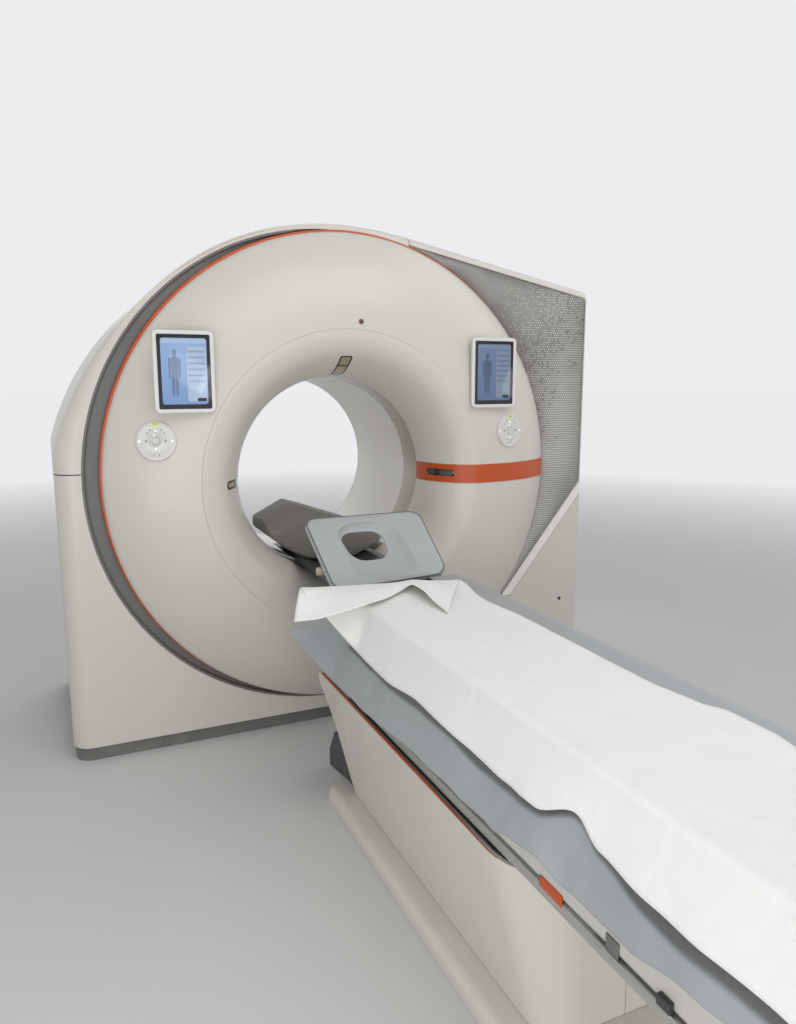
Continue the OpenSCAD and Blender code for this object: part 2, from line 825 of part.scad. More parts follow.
module beam_trim() {
    out = beam_half + skin;
    for (side = [-1, 1]) {
        color(orange) box([side > 0 ? out : -out - 2.5, -2150, beam_z + 4],
            [side > 0 ? out + 2.5 : -out, -2105, beam_z + 34]);
        color(steel) box([side > 0 ? out : -out - 6, beam_foot_y, beam_z - 6],
            [side > 0 ? out + 6 : -out, -2230, beam_z + 3]);
        color(grey) box([side > 0 ? out : -out - 3, -2310, beam_z + 26],
            [side > 0 ? out + 3 : -out, -2285, beam_z + 56]);
    }
}
module bore_segment(r, top_z) {
    intersection() {
        translate([0, iso_z]) circle(r = r, $fn = 180);
        translate([-r, iso_z - r - 1]) square([2 * r, top_z - iso_z + r + 1]);
    }
}
module tabletop() {
    color("#3c3e41") along_y(pad_foot_y - 30, pad_head_y + 30) difference() {
        bore_segment(top_under_r, pad_bottom_z - skin);
        bore_segment(top_under_r - 12, pad_bottom_z - 14);
    }
}
module mattress() {
    color(soft_grey) along_y(pad_foot_y, pad_head_y)
        rounded_square([-pad_half, pad_bottom_z], [pad_half, pad_top_z], 12);
}
module cover_flaps() {
    flare = 76;
    low_z = 528;
    color(soft_grey) for (side = [-1, 1]) mirror([side > 0 ? 0 : 1, 0, 0])
        along_y(pad_foot_y + 10, pad_head_y + 50) polygon([[pad_half + 0.5, pad_top_z - 14],
            [pad_half + 3, pad_top_z - 14], [pad_half + 30, 640], [pad_half + flare + 2.5, low_z],
            [pad_half + flare, low_z], [pad_half + 27, 640]]);
}
module paper_sheet() {
    top = pad_top_z + skin;
    color("#efeeea") {
        along_y(pad_foot_y + 20, -900) polygon([[192, top], [192, top + 1.2], [-234, top + 1.2],
            [-240, top - 4], [-262, 668], [-260.5, 668], [-238.5, top - 4], [-234, top]]);
        along_x(-300, 190) polygon([[-980, top + 1.1], [-900, top + 1.1], [-884, 806], [-885.5, 806],
            [-902, top + 12], [-990, top + 24], [-990, top + 22.5], [-908, top + 10],
            [-905, top + 2.3], [-980, top + 2.3]]);
    }
}
module extension_tray() {
    color("#37393b") along_y(pad_head_y + 30 + skin, tray_end_y) difference() {
        bore_segment(top_under_r, tray_top_z);
        translate([0, iso_z]) circle(r = top_under_r - tray_t, $fn = 180);
    }
}
module arm_support() {
    r = top_under_r - tray_t - skin;
    color("#7a756c") intersection() {
        along_y(-140, 240) translate([0, iso_z]) circle(r = r, $fn = 180);
        hull() {
            along_y(-60, 160) polygon([[-298, 660], [-298, 868], [-160, 936], [-90, 915], [80, 850],
                [235, 800], [235, 660]]);
            along_y(-110, 210) polygon([[-285, 640], [-285, 800], [-150, 868], [60, 800], [220, 770],
                [220, 640]]);
        }
    }
}
module head_rest_base() {
    r = top_under_r - tray_t - skin;
    color("#37393b") difference() {
        for (side = [-1, 1]) along_x(side * 140 - 8, side * 140 + 8) {
            polygon([[-700, 660], [-700, 745], [rest_pivot_y - 20, rest_pivot_z],
                [rest_pivot_y + 20, rest_pivot_z], [-540, 745], [-540, 660]]);
            translate([rest_pivot_y, rest_pivot_z]) circle(r = 20, $fn = 48);
        }
        difference() {
            along_y(-710, -530) translate([-300, 500]) square([600, 500]);
            along_y(-711, -529) translate([0, iso_z]) circle(r = r, $fn = 180);
        }
        along_x(-160, 160) translate([rest_pivot_y, rest_pivot_z]) circle(r = 6.1, $fn = 32);
    }
}
// The head rest's plate and pad, drawn flat with the front edge at the origin, then tilted.
module rest_outline(inset, z0, z1) {
    translate([0, 0, z0]) linear_extrude(z1 - z0)
        rounded_square([-rest_half + inset, inset], [rest_half - inset, rest_l - inset], 60 - inset);
}
module head_rest() {
    color("#9ea3a3") difference() {
        union() {
            intersection() {
                translate([0, rest_front_y, pad_top_z]) rotate([rest_tilt, 0, 0])
                    rest_outline(0, -rest_t, 0);
                along_y(-900, -300) translate([0, iso_z]) circle(r = top_under_r + 6, $fn = 180);
            }
            // Hinge lugs, pin and the ribbed knob of the tilt.
            for (side = [-1, 1])
                along_x(side * 118 - 8, side * 118 + 8) translate([rest_pivot_y, rest_pivot_z]) {
                    circle(r = 16, $fn = 48);
                    polygon([[-16, 0], [16, 0], [22, 44], [-18, 22]]);
                }
            along_x(-226, 175) translate([rest_pivot_y, rest_pivot_z]) circle(r = 6, $fn = 48);
            along_x(-252, -225) translate([rest_pivot_y, rest_pivot_z]) circle(r = 15, $fn = 48);
        }
        // The opening for the face and the head.
        translate([0, 0, 600]) linear_extrude(500)
            rounded_square([-106, -694], [46, -562], 50);
    }
}

base_frame();
stator_frame();
bearing_outer_race();
drive_stator();
brush_block();
base_plinth();
left_lower_cover();
right_lower_cover();
arch_cover();
right_top_cover();
slanted_trim();
printed_panel();
rim_band();
accent_ring();
front_cover();
funnel();
accent_band();
window_ring();
bore_liner();
rear_cover();
rear_funnel();
laser_windows();
status_sensor();
control_panel(-1);  // control_panel_left
control_panel(1);  // control_panel_right
centre_key(-1);  // centre_key_left
centre_key(1);  // centre_key_right
tablet_dock(-1);  // tablet_dock_left
tablet_dock(1);  // tablet_dock_right
tablet(-1);  // tablet_left
tablet(1);  // tablet_right
rotor_drum();
bearing_inner_race();
bearing_balls();
magnet_ring();
slip_ring();
xray_tube();
collimator();
detector_arc();
generators();
balance_weight();
floor_plinth();
pedestal_panel(-1);  // pedestal_panel_left
pedestal_panel(1);  // pedestal_panel_right
table_accent_line();
lift_outer_columns();
link_bracket();
lift_inner_columns();
lift_spindle();
skirt();
table_beam();
beam_trim();
tabletop();
mattress();
cover_flaps();
paper_sheet();
extension_tray();
arm_support();
head_rest_base();
head_rest();
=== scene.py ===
# CT scanner: a round gantry with an open bore and a patient table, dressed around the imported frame.
import math

import bmesh
import bpy
from mathutils import Matrix, Vector, noise


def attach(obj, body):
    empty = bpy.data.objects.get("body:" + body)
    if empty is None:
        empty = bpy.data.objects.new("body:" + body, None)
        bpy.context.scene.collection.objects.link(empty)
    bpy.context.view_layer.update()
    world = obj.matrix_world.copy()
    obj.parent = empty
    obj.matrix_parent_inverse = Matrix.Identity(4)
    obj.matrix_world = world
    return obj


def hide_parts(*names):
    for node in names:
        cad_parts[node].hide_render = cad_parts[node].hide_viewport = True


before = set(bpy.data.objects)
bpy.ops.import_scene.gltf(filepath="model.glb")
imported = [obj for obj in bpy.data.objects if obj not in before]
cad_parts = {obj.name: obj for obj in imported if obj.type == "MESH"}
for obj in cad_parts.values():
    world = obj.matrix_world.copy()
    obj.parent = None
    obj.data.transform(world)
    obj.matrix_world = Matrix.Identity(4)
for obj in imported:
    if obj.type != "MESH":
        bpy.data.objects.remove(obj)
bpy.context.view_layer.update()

# Camera
# It stands where the photograph was taken from: left of the table, at eye height, looking slightly down.
# Its lens gives the photograph's angle of view.
camera_data = bpy.data.cameras.new("camera")
camera_data.sensor_width = 36
camera_data.lens = 27.155
camera = bpy.data.objects.new("camera", camera_data)
camera.location = (-1.093, -3.215, 1.46)
camera.rotation_euler = (math.radians(90 - 9.68), math.radians(0.07), math.radians(-24.2))
bpy.context.scene.collection.objects.link(camera)
bpy.context.scene.camera = camera

# Housing covers
# Large moulded shells of painted glass-fibre plastic, six millimetres thick, with softly rounded front
# and back edges. They hang on the frame and meet at narrow joints: level with the bore at the left, at the
# top right of the bore, and along the slanted trim.


def skin_group(name, inputs):
    """A node group for a surface: takes colours and numbers by name, gives colour, roughness and normal."""
    made = bpy.data.node_groups.new(name, "ShaderNodeTree")
    for key, value in inputs.items():
        kind = "NodeSocketColor" if isinstance(value, tuple) else "NodeSocketFloat"
        made.interface.new_socket(key, in_out="INPUT", socket_type=kind).default_value = value
    for key, kind in (("Colour", "Color"), ("Roughness", "Float"), ("Normal", "Vector")):
        made.interface.new_socket(key, in_out="OUTPUT", socket_type="NodeSocket" + kind)
    return made


def new_material(name):
    """A material with its node tree and its skin."""
    made = bpy.data.materials.new(name)
    made.use_nodes = True
    return made, made.node_tree, made.node_tree.nodes["Principled BSDF"]


def wire(tree, kind, links=None, inputs=None, **settings):
    """A shader node with its settings, its input values and its links, each by socket name or number."""
    made = tree.nodes.new(kind)
    for name, value in settings.items():
        setattr(made, name, value)
    for name, value in (inputs or {}).items():
        made.inputs[name].default_value = value
    for name, source in (links or {}).items():
        tree.links.new(source, made.inputs[name])
    return made


def maths(tree, operation, *values):
    """One step of arithmetic on sockets and numbers."""
    made = wire(tree, "ShaderNodeMath", operation=operation)
    for i, value in enumerate(values):
        if isinstance(value, (int, float)):
            made.inputs[i].default_value = value
        else:
            tree.links.new(value, made.inputs[i])
    return made.outputs[0]


def stretch(tree, value, low, high, to_low=0.0, to_high=1.0):
    """Moves a value from one range to another, held at both ends."""
    return wire(tree, "ShaderNodeMapRange", {"Value": value}, {
        "From Min": low, "From Max": high, "To Min": to_low, "To Max": to_high}).outputs[0]


def blend_colour(tree, mask, a, b):
    """Mixes two colours by a mask."""
    made = wire(tree, "ShaderNodeMix", {0: mask}, data_type="RGBA")
    for slot, value in ((6, a), (7, b)):
        if isinstance(value, tuple):
            made.inputs[slot].default_value = (*value, 1)
        else:
            tree.links.new(value, made.inputs[slot])
    return made.outputs[2]


def lay_texture(tree, skin, group, values):
    """Sets a skin group on the colour, roughness and normal of a material's skin."""
    made = wire(tree, "ShaderNodeGroup", inputs=values, node_tree=group)
    for key, target in (("Colour", "Base Color"), ("Roughness", "Roughness"), ("Normal", "Normal")):
        tree.links.new(made.outputs[key], skin.inputs[target])
    return made


surface_grain = skin_group("surface grain", {
    "Colour": (0.8, 0.8, 0.8, 1), "Dust Colour": (0.4, 0.38, 0.35, 1), "Mottling": 0.05, "Scuffs": 0.2,
    "Roughness": 0.4, "Grain Scale": 900, "Grain Depth": 0.1})
given = wire(surface_grain, "NodeGroupInput").outputs
place = wire(surface_grain, "ShaderNodeTexCoord").outputs["Object"]
slow = wire(surface_grain, "ShaderNodeTexNoise", {"Vector": place}, {"Scale": 2.6, "Detail": 4})
fine = wire(surface_grain, "ShaderNodeTexNoise", {"Vector": place, "Scale": given["Grain Scale"]},
            {"Detail": 2})
smear = wire(surface_grain, "ShaderNodeTexNoise", {"Vector": place},
             {"Scale": 14, "Detail": 6, "Roughness": 0.7})
shade = maths(surface_grain, "MULTIPLY_ADD", stretch(surface_grain, slow.outputs["Fac"], 0.3, 0.7, -0.5, 0.5),
              given["Mottling"], 1.0)
base = wire(surface_grain, "ShaderNodeVectorMath", {0: given["Colour"], "Scale": shade}, operation="SCALE")
height = wire(surface_grain, "ShaderNodeSeparateXYZ", {0: place}).outputs["Z"]
dirt = maths(surface_grain, "MULTIPLY", stretch(surface_grain, height, 0.0, 0.35, 1.0, 0.12),
             maths(surface_grain, "MULTIPLY", stretch(surface_grain, smear.outputs["Fac"], 0.48, 0.72),
                   given["Scuffs"]))
wire(surface_grain, "NodeGroupOutput", {
    "Colour": blend_colour(surface_grain, dirt, base.outputs[0], given["Dust Colour"]),
    "Roughness": maths(surface_grain, "MULTIPLY_ADD", dirt, 0.35, given["Roughness"]),
    "Normal": wire(surface_grain, "ShaderNodeBump", {"Height": fine.outputs["Fac"],
                                                     "Strength": given["Grain Depth"]},
                   {"Distance": 0.0004}).outputs[0]})


def grained(name, colour, roughness=0.4, metallic=0.0, mottling=0.05, scuffs=0.15, grain=900,
            depth=0.08, coat=0.0):
    """A hard finish of one colour and gloss, with the shared grain, mottling and scuffs."""
    made, tree, skin = new_material(name)
    lay_texture(tree, skin, surface_grain, {
        "Colour": (*colour, 1), "Dust Colour": (0.36, 0.34, 0.31, 1), "Mottling": mottling, "Scuffs": scuffs,
        "Roughness": roughness, "Grain Scale": grain, "Grain Depth": depth})
    skin.inputs["Metallic"].default_value = metallic
    skin.inputs["Coat Weight"].default_value = coat
    skin.inputs["Coat Roughness"].default_value = 0.12
    return made


def lay_chain(bm, points, closed=False):
    """A chain of edges through the points."""
    verts = [bm.verts.new(p) for p in points]
    pairs = list(zip(verts, verts[1:])) + ([(verts[-1], verts[0])] if closed else [])
    return verts, [bm.edges.new(pair) for pair in pairs]


def loft(bm, chains, closed=False):
    """Extrudes a chain of edges from each outline to the next, all with as many points."""
    verts, edges = lay_chain(bm, chains[0], closed)
    first = (verts, edges)
    for chain in chains[1:]:
        grown = bmesh.ops.extrude_edge_only(bm, edges=edges)["geom"]
        new = {v for v in grown if isinstance(v, bmesh.types.BMVert)}
        step = {v: next(e.other_vert(v) for e in v.link_edges if e.other_vert(v) in new) for v in verts}
        verts = [step[v] for v in verts]
        for v, at in zip(verts, chain):
            v.co = at
        edges = [e for e in grown if isinstance(e, bmesh.types.BMEdge)
                 and e.verts[0] in new and e.verts[1] in new]
    return first, (verts, edges)


def look_outward(bm, seen_from=None):
    """Turns the faces outward; those of an open skin so that most of it faces the given point."""
    bmesh.ops.recalc_face_normals(bm, faces=bm.faces[:])
    if not seen_from:
        return
    eye = Vector(seen_from)
    if sum(f.normal.dot(eye - f.calc_center_median()) * f.calc_area() for f in bm.faces) < 0:
        bmesh.ops.reverse_faces(bm, faces=bm.faces[:])


def cut_along(bm, place, normal):
    """Cuts a mesh along a plane, keeping both sides."""
    bmesh.ops.bisect_plane(bm, geom=bm.faces[:] + bm.edges[:] + bm.verts[:], plane_co=place,
                           plane_no=normal, dist=1e-6)


def drop_faces(bm, area):
    """Deletes the faces in an area, and what is left loose."""
    bmesh.ops.delete(bm, geom=[f for f in bm.faces if area(f)], context="FACES")
    bmesh.ops.delete(bm, geom=[v for v in bm.verts if not v.link_faces], context="VERTS")


def set_piece(name, bm, body, material, replaces=(), crease=35, edge=0.0, wall=0.0):
    """Makes a mesh a piece of the object: its walls and edges, its finish, and what it rides on."""
    mesh = bpy.data.meshes.new(name)
    bm.to_mesh(mesh)
    bm.free()
    piece = bpy.data.objects.new(name, mesh)
    bpy.context.scene.collection.objects.link(piece)
    for entry in material if isinstance(material, (list, tuple)) else [material]:
        mesh.materials.append(entry)
    if wall:
        shell = piece.modifiers.new("wall", "SOLIDIFY")
        shell.thickness = wall
        shell.offset = -1
        shell.use_even_offset = True
    if edge:
        soft = piece.modifiers.new("edge", "BEVEL")
        soft.width = edge
        soft.segments = 2
        soft.limit_method = "ANGLE"
        soft.angle_limit = math.radians(crease + 5)
        soft.harden_normals = True
    mesh.polygons.foreach_set("use_smooth", [True] * len(mesh.polygons))
    mesh.set_sharp_from_angle(angle=math.radians(crease))
    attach(piece, body)
    if replaces:
        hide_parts(replaces)
    return piece


white_cover = grained("white cover", (0.62, 0.592, 0.540), 0.36, mottling=0.03, scuffs=0.12, depth=0.035,
                      coat=0.12)
# A lighter copy of the white cover paint: painted light, for the slanted trim's upward face and the bore
# liner.
painted_lit_white = grained("painted lit white", (0.82, 0.80, 0.76), 0.34, mottling=0.03, scuffs=0.08, coat=0.15)
plinth_top, front_y, side_end, back_y = 0.0553, -0.180, 0.640, 0.745
bore_z = 1.064
disc_middle, band_middle, accent_middle = (0.036, 1.075), (-0.030, 1.079), (0.031, 1.080)
top_fall, trim_angle = math.radians(11.2), math.radians(50.8)
top_slope, trim_slope = math.tan(top_fall), math.tan(trim_angle)
trim_foot, trim_drop = (1.25, 0, 1.000), 0.042 / math.cos(trim_angle)
panel_tip, joint, rim_width, wall = 0.445, 0.004, 0.0025, 0.006


def housing_outline(stage, y, inset):
    """The housing from the front at a stage of its edge rounding, from the left foot to the right one."""
    cx, cz = band_middle[0] + 0.100 * stage, band_middle[1] - 0.203 * stage
    r = 0.988 + 0.217 * stage - inset
    left, right = 1.020 + 0.073 * stage - inset, 1.235 + 0.015 * stage - inset
    start = math.atan2(math.sqrt(max(r * r - (left + cx) ** 2, 0)), -left - cx)
    end = math.pi / 2 - top_fall
    points = [(-left, y, z) for z in (plinth_top, 0.30, 0.60, 0.80, 0.95)]
    points += [(cx + r * math.cos(start + (end - start) * i / 96), y,
                cz + r * math.sin(start + (end - start) * i / 96)) for i in range(97)]
    top_x, _, top_z = points[-1]
    corner = top_z - (right - top_x) * top_slope
    points += [(top_x + (right - top_x) * t, y, top_z - (right - top_x) * t * top_slope)
               for t in (0.25, 0.5, 0.75)]
    points += [(right - 0.016, y, corner + 0.016 * top_slope), (right - 0.006, y, corner - 0.0022),
               (right - 0.0012, y, corner - 0.009)]
    points += [(right, y, z) for z in (corner - 0.018, 1.50, 1.20, 0.90, 0.50, plinth_top)]
    return points


def front_opening():
    """The round opening in the front, clear of both the grey band and the orange ring."""
    points = []
    for i in range(256):
        a = 2 * math.pi * i / 256
        reach = 0
        for (cx, cz), r in ((band_middle, 0.970), (accent_middle, 0.9705)):
            rise = cz - band_middle[1]
            along = cx * math.cos(a) + rise * math.sin(a)
            reach = max(reach, along + math.sqrt(r * r - (cx * cx + rise * rise - along * along)))
        points.append((reach * math.cos(a), front_y, band_middle[1] + reach * math.sin(a)))
    return points


def above_trim(c, drop):
    """Whether a place lies above the slanted trim's upper edge, or a line below that edge."""
    return c.z > trim_foot[2] - drop + (c.x - trim_foot[0]) * trim_slope


housing = bmesh.new()
stages = [(0, front_y, rim_width)]
stages += [(math.sin(math.radians(10 * i)), front_y + 0.075 * (1 - math.cos(math.radians(10 * i))), 0)
           for i in range(10)]
stages += [(1, side_end, 0), (1, side_end + joint, 0), (1, back_y - 0.042, 0)]
stages += [(1 - 0.4 * (1 - math.cos(math.radians(15 * i))),
            back_y - 0.040 * (1 - math.sin(math.radians(15 * i))), 0) for i in range(7)]
stages += [(0.6, back_y, rim_width)]
front_end, back_end = loft(housing, [housing_outline(*stage) for stage in stages])
flare_r = 0.5203
rear_opening = [(flare_r * math.cos(math.pi * i / 64), back_y, bore_z + flare_r * math.sin(math.pi * i / 64))
                for i in range(128)]
for (ring, rim), opening in ((front_end, front_opening()), (back_end, rear_opening)):
    closing = [housing.edges.new((ring[0], ring[-1]))]
    filled = bmesh.ops.triangle_fill(housing, edges=rim + closing + lay_chain(housing, opening, True)[1],
                                     use_beauty=True)["geom"]
    for face in filled:
        if isinstance(face, bmesh.types.BMFace):
            face.material_index = 1
for place, normal in (
        ((0, 0, 1.118), (0, 0, 1)), ((0, 0, 1.122), (0, 0, 1)), ((-0.002, 0, 0), (1, 0, 0)),
        ((0.002, 0, 0), (1, 0, 0)), ((0.321, 0, 0), (1, 0, 0)), ((0.325, 0, 0), (1, 0, 0)),
        ((0, 0, panel_tip), (0, 0, 1)), ((0, 0, panel_tip + joint), (0, 0, 1)),
        ((0, side_end, 0), (0, 1, 0)), ((0, side_end + joint, 0), (0, 1, 0))):
    cut_along(housing, place, normal)
for drop in (-0.002, 0, joint, trim_drop, trim_drop + joint):
    cut_along(housing, (trim_foot[0], 0, trim_foot[2] - drop), Vector((-trim_slope, 0, 1)).normalized())
look_outward(housing)
if sum(f.normal.y * f.calc_area() for f in housing.faces if f.calc_center_median().y < front_y + 1e-4) > 0:
    bmesh.ops.reverse_faces(housing, faces=housing.faces[:])


def in_panel_recess(f):
    """Whether a face of the housing's front lies in the printed panel's field."""
    c = f.calc_center_median()
    return (f.material_index == 1 and c.y < front_y + 1e-4 and above_trim(c, -0.002)
            and c.z > panel_tip + joint and c.x > 0.325)


def cover_faces(source, area):
    """A copy of one cover's faces, with its corners joined."""
    part = source.copy()
    drop_faces(part, lambda f: not area(f, f.calc_center_median()))
    for face in part.faces:
        face.material_index = 0
    bmesh.ops.remove_doubles(part, verts=part.verts[:], dist=1e-5)
    return part


for node, area in {
        "left_lower_cover": lambda f, c: c.y < side_end and c.x < -0.002 and c.z < 1.118,
        "right_lower_cover": lambda f, c: c.y < side_end and c.x > 0.002 and (
            c.z < panel_tip or not above_trim(c, trim_drop + joint)),
        "arch_cover": lambda f, c: c.y < side_end and c.x < 0.321 and c.z > 1.122,
        "right_top_cover": lambda f, c: c.y < side_end and c.x > 0.325 and c.z > panel_tip + joint
        and above_trim(c, 0) and not in_panel_recess(f),
        "slanted_trim": lambda f, c: c.y < side_end and c.x > 0.002 and c.z > panel_tip + joint
        and above_trim(c, trim_drop) and not above_trim(c, joint)}.items():
    # The slanted trim takes the lighter copy of the white paint, as painted light on its upward face.
    set_piece(node + "_shell", cover_faces(housing, area), "gantry",
              painted_lit_white if node == "slanted_trim" else white_cover, node, crease=40,
              edge=0.0012, wall=wall)

# Rear cover
# The back of the housing is one moulded cover of the same painted plastic, hung on the frame. A field of
# slots at each side lets the warm air of the drive out.
rear = cover_faces(housing, lambda f, c: c.y > side_end + joint)
vent_rows, slot_height = [0.180 + 0.026 * i for i in range(10)], 0.010
vent_start, vent_end = 0.45, 0.79
for x in (-vent_end, -vent_start, vent_start, vent_end):
    cut_along(rear, (x, 0, 0), (1, 0, 0))
for z in vent_rows:
    cut_along(rear, (0, 0, z), (0, 0, 1))
    cut_along(rear, (0, 0, z + slot_height), (0, 0, 1))


def in_vent(f):
    """Whether a face of the back lies in one of the slots."""
    c = f.calc_center_median()
    return (c.y > back_y - 1e-4 and vent_start < abs(c.x) < vent_end
            and any(z < c.z < z + slot_height for z in vent_rows))


drop_faces(rear, in_vent)
set_piece("rear_cover_shell", rear, "gantry", white_cover, "rear_cover", crease=40,
          edge=0.0012, wall=wall)

# Printed panel
# A grey plastic sheet lies in the front of the upper right cover, behind a narrow rim. Light dots are
# printed on it in staggered rows that grow towards the outer edge.
panel_print, tree, skin = new_material("printed panel")
texture = lay_texture(tree, skin, surface_grain, {
    "Colour": (0.255, 0.250, 0.238, 1), "Mottling": 0.06, "Scuffs": 0.1, "Roughness": 0.42,
    "Grain Scale": 700, "Grain Depth": 0.08})
spot = wire(tree, "ShaderNodeSeparateXYZ", {0: wire(tree, "ShaderNodeTexCoord").outputs["Object"]})
dot_pitch = 0.0105
row_at = maths(tree, "DIVIDE", spot.outputs["Z"], dot_pitch)
row = maths(tree, "FLOOR", row_at)
shift = maths(tree, "MULTIPLY", maths(tree, "MODULO", row, 2.0), 0.5)
column_at = maths(tree, "ADD", maths(tree, "DIVIDE", spot.outputs["X"], dot_pitch), shift)
cell = wire(tree, "ShaderNodeCombineXYZ", {0: maths(tree, "FLOOR", column_at), 1: row})
luck = wire(tree, "ShaderNodeTexWhiteNoise", {"Vector": cell.outputs[0]}, noise_dimensions="2D")
patchy = wire(tree, "ShaderNodeTexNoise", {"Vector": cell.outputs[0]}, {"Scale": 0.11, "Detail": 2})
rise = maths(tree, "ADD", maths(tree, "MULTIPLY", spot.outputs["X"], 1.05),
             maths(tree, "MULTIPLY", spot.outputs["Z"], -0.42))
density = stretch(tree, maths(tree, "ADD", rise, maths(tree, "MULTIPLY", patchy.outputs["Fac"], 0.55)),
                  0.20, 0.95)
shown = maths(tree, "LESS_THAN", luck.outputs["Value"], maths(tree, "MULTIPLY", density, 1.15))
across = maths(tree, "SUBTRACT", maths(tree, "FRACT", column_at), 0.5)
upward = maths(tree, "SUBTRACT", maths(tree, "FRACT", row_at), 0.5)
far = maths(tree, "SQRT", maths(tree, "ADD", maths(tree, "MULTIPLY", across, across),
                                maths(tree, "MULTIPLY", upward, upward)))
radius = maths(tree, "MULTIPLY_ADD", density, 0.26, 0.12)
dots = maths(tree, "MULTIPLY", shown, stretch(tree, maths(tree, "SUBTRACT", radius, far), -0.03, 0.03))
tree.links.new(blend_colour(tree, dots, texture.outputs["Colour"], (0.60, 0.59, 0.56)),
               skin.inputs["Base Color"])
sheet = cover_faces(housing, lambda f, c: in_panel_recess(f))
bmesh.ops.translate(sheet, verts=sheet.verts[:], vec=(0, 0.004, 0))
set_piece("printed_panel_sheet", sheet, "gantry", panel_print, "printed_panel", wall=0.005)
housing.free()

# Grey rim band and orange ring
# A recessed grey band runs round the front cover and is widest at the left. A thin orange ring edges the
# cover. Both are turned plastic rings, screwed to the frame behind the covers.
grey_trim = grained("grey trim", (0.150, 0.150, 0.142), 0.42, mottling=0.08, scuffs=0.25)
orange_lacquer = grained("orange lacquer", (0.50, 0.070, 0.005), 0.42, mottling=0.04, coat=0.1)


def turn_profile(profile, middle, closed=True, seen_from=None):
    """Spins a profile of (radius, depth) once round an axis along Y."""
    bm = bmesh.new()
    verts, edges = lay_chain(bm, [(middle[0] + r, y, middle[1]) for r, y in profile], closed)
    bmesh.ops.spin(bm, geom=verts + edges, cent=(middle[0], 0, middle[1]), axis=(0, 1, 0),
                   angle=2 * math.pi, steps=256, use_merge=True, use_duplicate=False)
    bmesh.ops.remove_doubles(bm, verts=bm.verts[:], dist=1e-6)
    look_outward(bm, seen_from)
    return bm


band = turn_profile([
    (0.850, -0.154), (0.850, -0.158), (0.950, -0.158), (0.9570, -0.1586), (0.9598, -0.1602),
    (0.9610, -0.1630), (0.9610, -0.1775), (0.9618, -0.1788), (0.9632, -0.1792), (0.9675, -0.1792),
    (0.9690, -0.1788), (0.9697, -0.1775), (0.9697, -0.128), (0.961, -0.128), (0.961, -0.154)], band_middle)
lip_foot = -0.1582
for v in band.verts:
    if v.co.y < lip_foot:
        # The raised lip runs out softly where the orange ring passes over it.
        out = math.hypot(v.co.x - accent_middle[0], v.co.z - accent_middle[1])
        v.co.y = lip_foot + (v.co.y - lip_foot) * min(max((out - 0.9708) / 0.0025, 0), 1)
set_piece("rim_band_ring", band, "gantry", grey_trim, "rim_band", crease=50)
ring = turn_profile([
    (0.944, -0.1585), (0.944, -0.1855), (0.9660, -0.1857), (0.9688, -0.1850), (0.9700, -0.1830),
    (0.9700, -0.1610), (0.9690, -0.1590), (0.9675, -0.1585)], accent_middle)
set_piece("orange_rim", ring, "gantry", orange_lacquer, "accent_ring", crease=50)

# Front cover
# The big domed ring of the front is one moulded shell, held to the frame from behind. It is flat where it
# meets the funnel and falls back towards its rim.
dome_r, dome_back, crest_y, funnel_r = 0.560, 0.226, -0.334, 0.593


def dome_depth(x, z):
    """How far back the dome's skin is at a place seen from the front."""
    out = math.hypot(x - disc_middle[0], z - disc_middle[1]) - funnel_r
    return dome_back - dome_r * math.cos(math.asin(max(-1, min(1, out / dome_r))))


dome_inner, dome_outer = 0.5934, 0.9645
dome_rings = []
for j in range(29):
    t = j / 28
    ring = []
    for i in range(256):
        a = 2 * math.pi * i / 256
        inner = (dome_inner * math.cos(a), bore_z + dome_inner * math.sin(a))
        outer = (disc_middle[0] + dome_outer * math.cos(a), disc_middle[1] + dome_outer * math.sin(a))
        x, z = inner[0] + (outer[0] - inner[0]) * t, inner[1] + (outer[1] - inner[1]) * t
        ring.append((x, dome_depth(x, z), z))
    dome_rings.append(ring)
for r, y in ((0.9657, -0.1880), (0.9664, -0.1872), (0.9665, -0.1861)):
    dome_rings.append([(disc_middle[0] + r * math.cos(2 * math.pi * i / 256), y,
                        disc_middle[1] + r * math.sin(2 * math.pi * i / 256)) for i in range(256)])
dome = bmesh.new()
loft(dome, dome_rings, closed=True)
look_outward(dome, (0, -6, bore_z))
set_piece("front_cover_dome", dome, "gantry", white_cover, "front_cover", crease=50,
          edge=0.0012, wall=wall)

# Funnel and bore
# The funnel is a moulded ring that rolls from the front cover into the bore. A beige film window lets the
# x-rays through, and a white liner and a flared ring finish the tunnel towards the back.
lip_y, bore_r = -0.075, 0.410
crest_back, crest_round = -0.194, 0.140
throat_r, throat_round = 0.7362, 0.3262


def funnel_profile(grow=0.0):
    """The funnel's front skin as (radius, depth), from its crest to its lip, grown outwards."""
    crest, throat = crest_round + grow, throat_round + grow
    points = []
    for i in range(23):
        a = math.radians(50.27) * i / 22
        points.append((funnel_r - crest * math.sin(a), crest_back - crest * math.cos(a)))
    for i in range(1, 27):
        b = math.radians(39.73) * (1 - i / 26)
        points.append((throat_r - throat * math.cos(b), lip_y - throat * math.sin(b)))
    return points


def funnel_depth(r):
    """How far forward the funnel's skin is at a radius of the bore."""
    if r > 0.4853:
        return crest_back - crest_round * math.cos(math.asin(min(1, (funnel_r - r) / crest_round)))
    return lip_y - throat_round * math.sin(math.acos(min(1, (throat_r - r) / throat_round)))


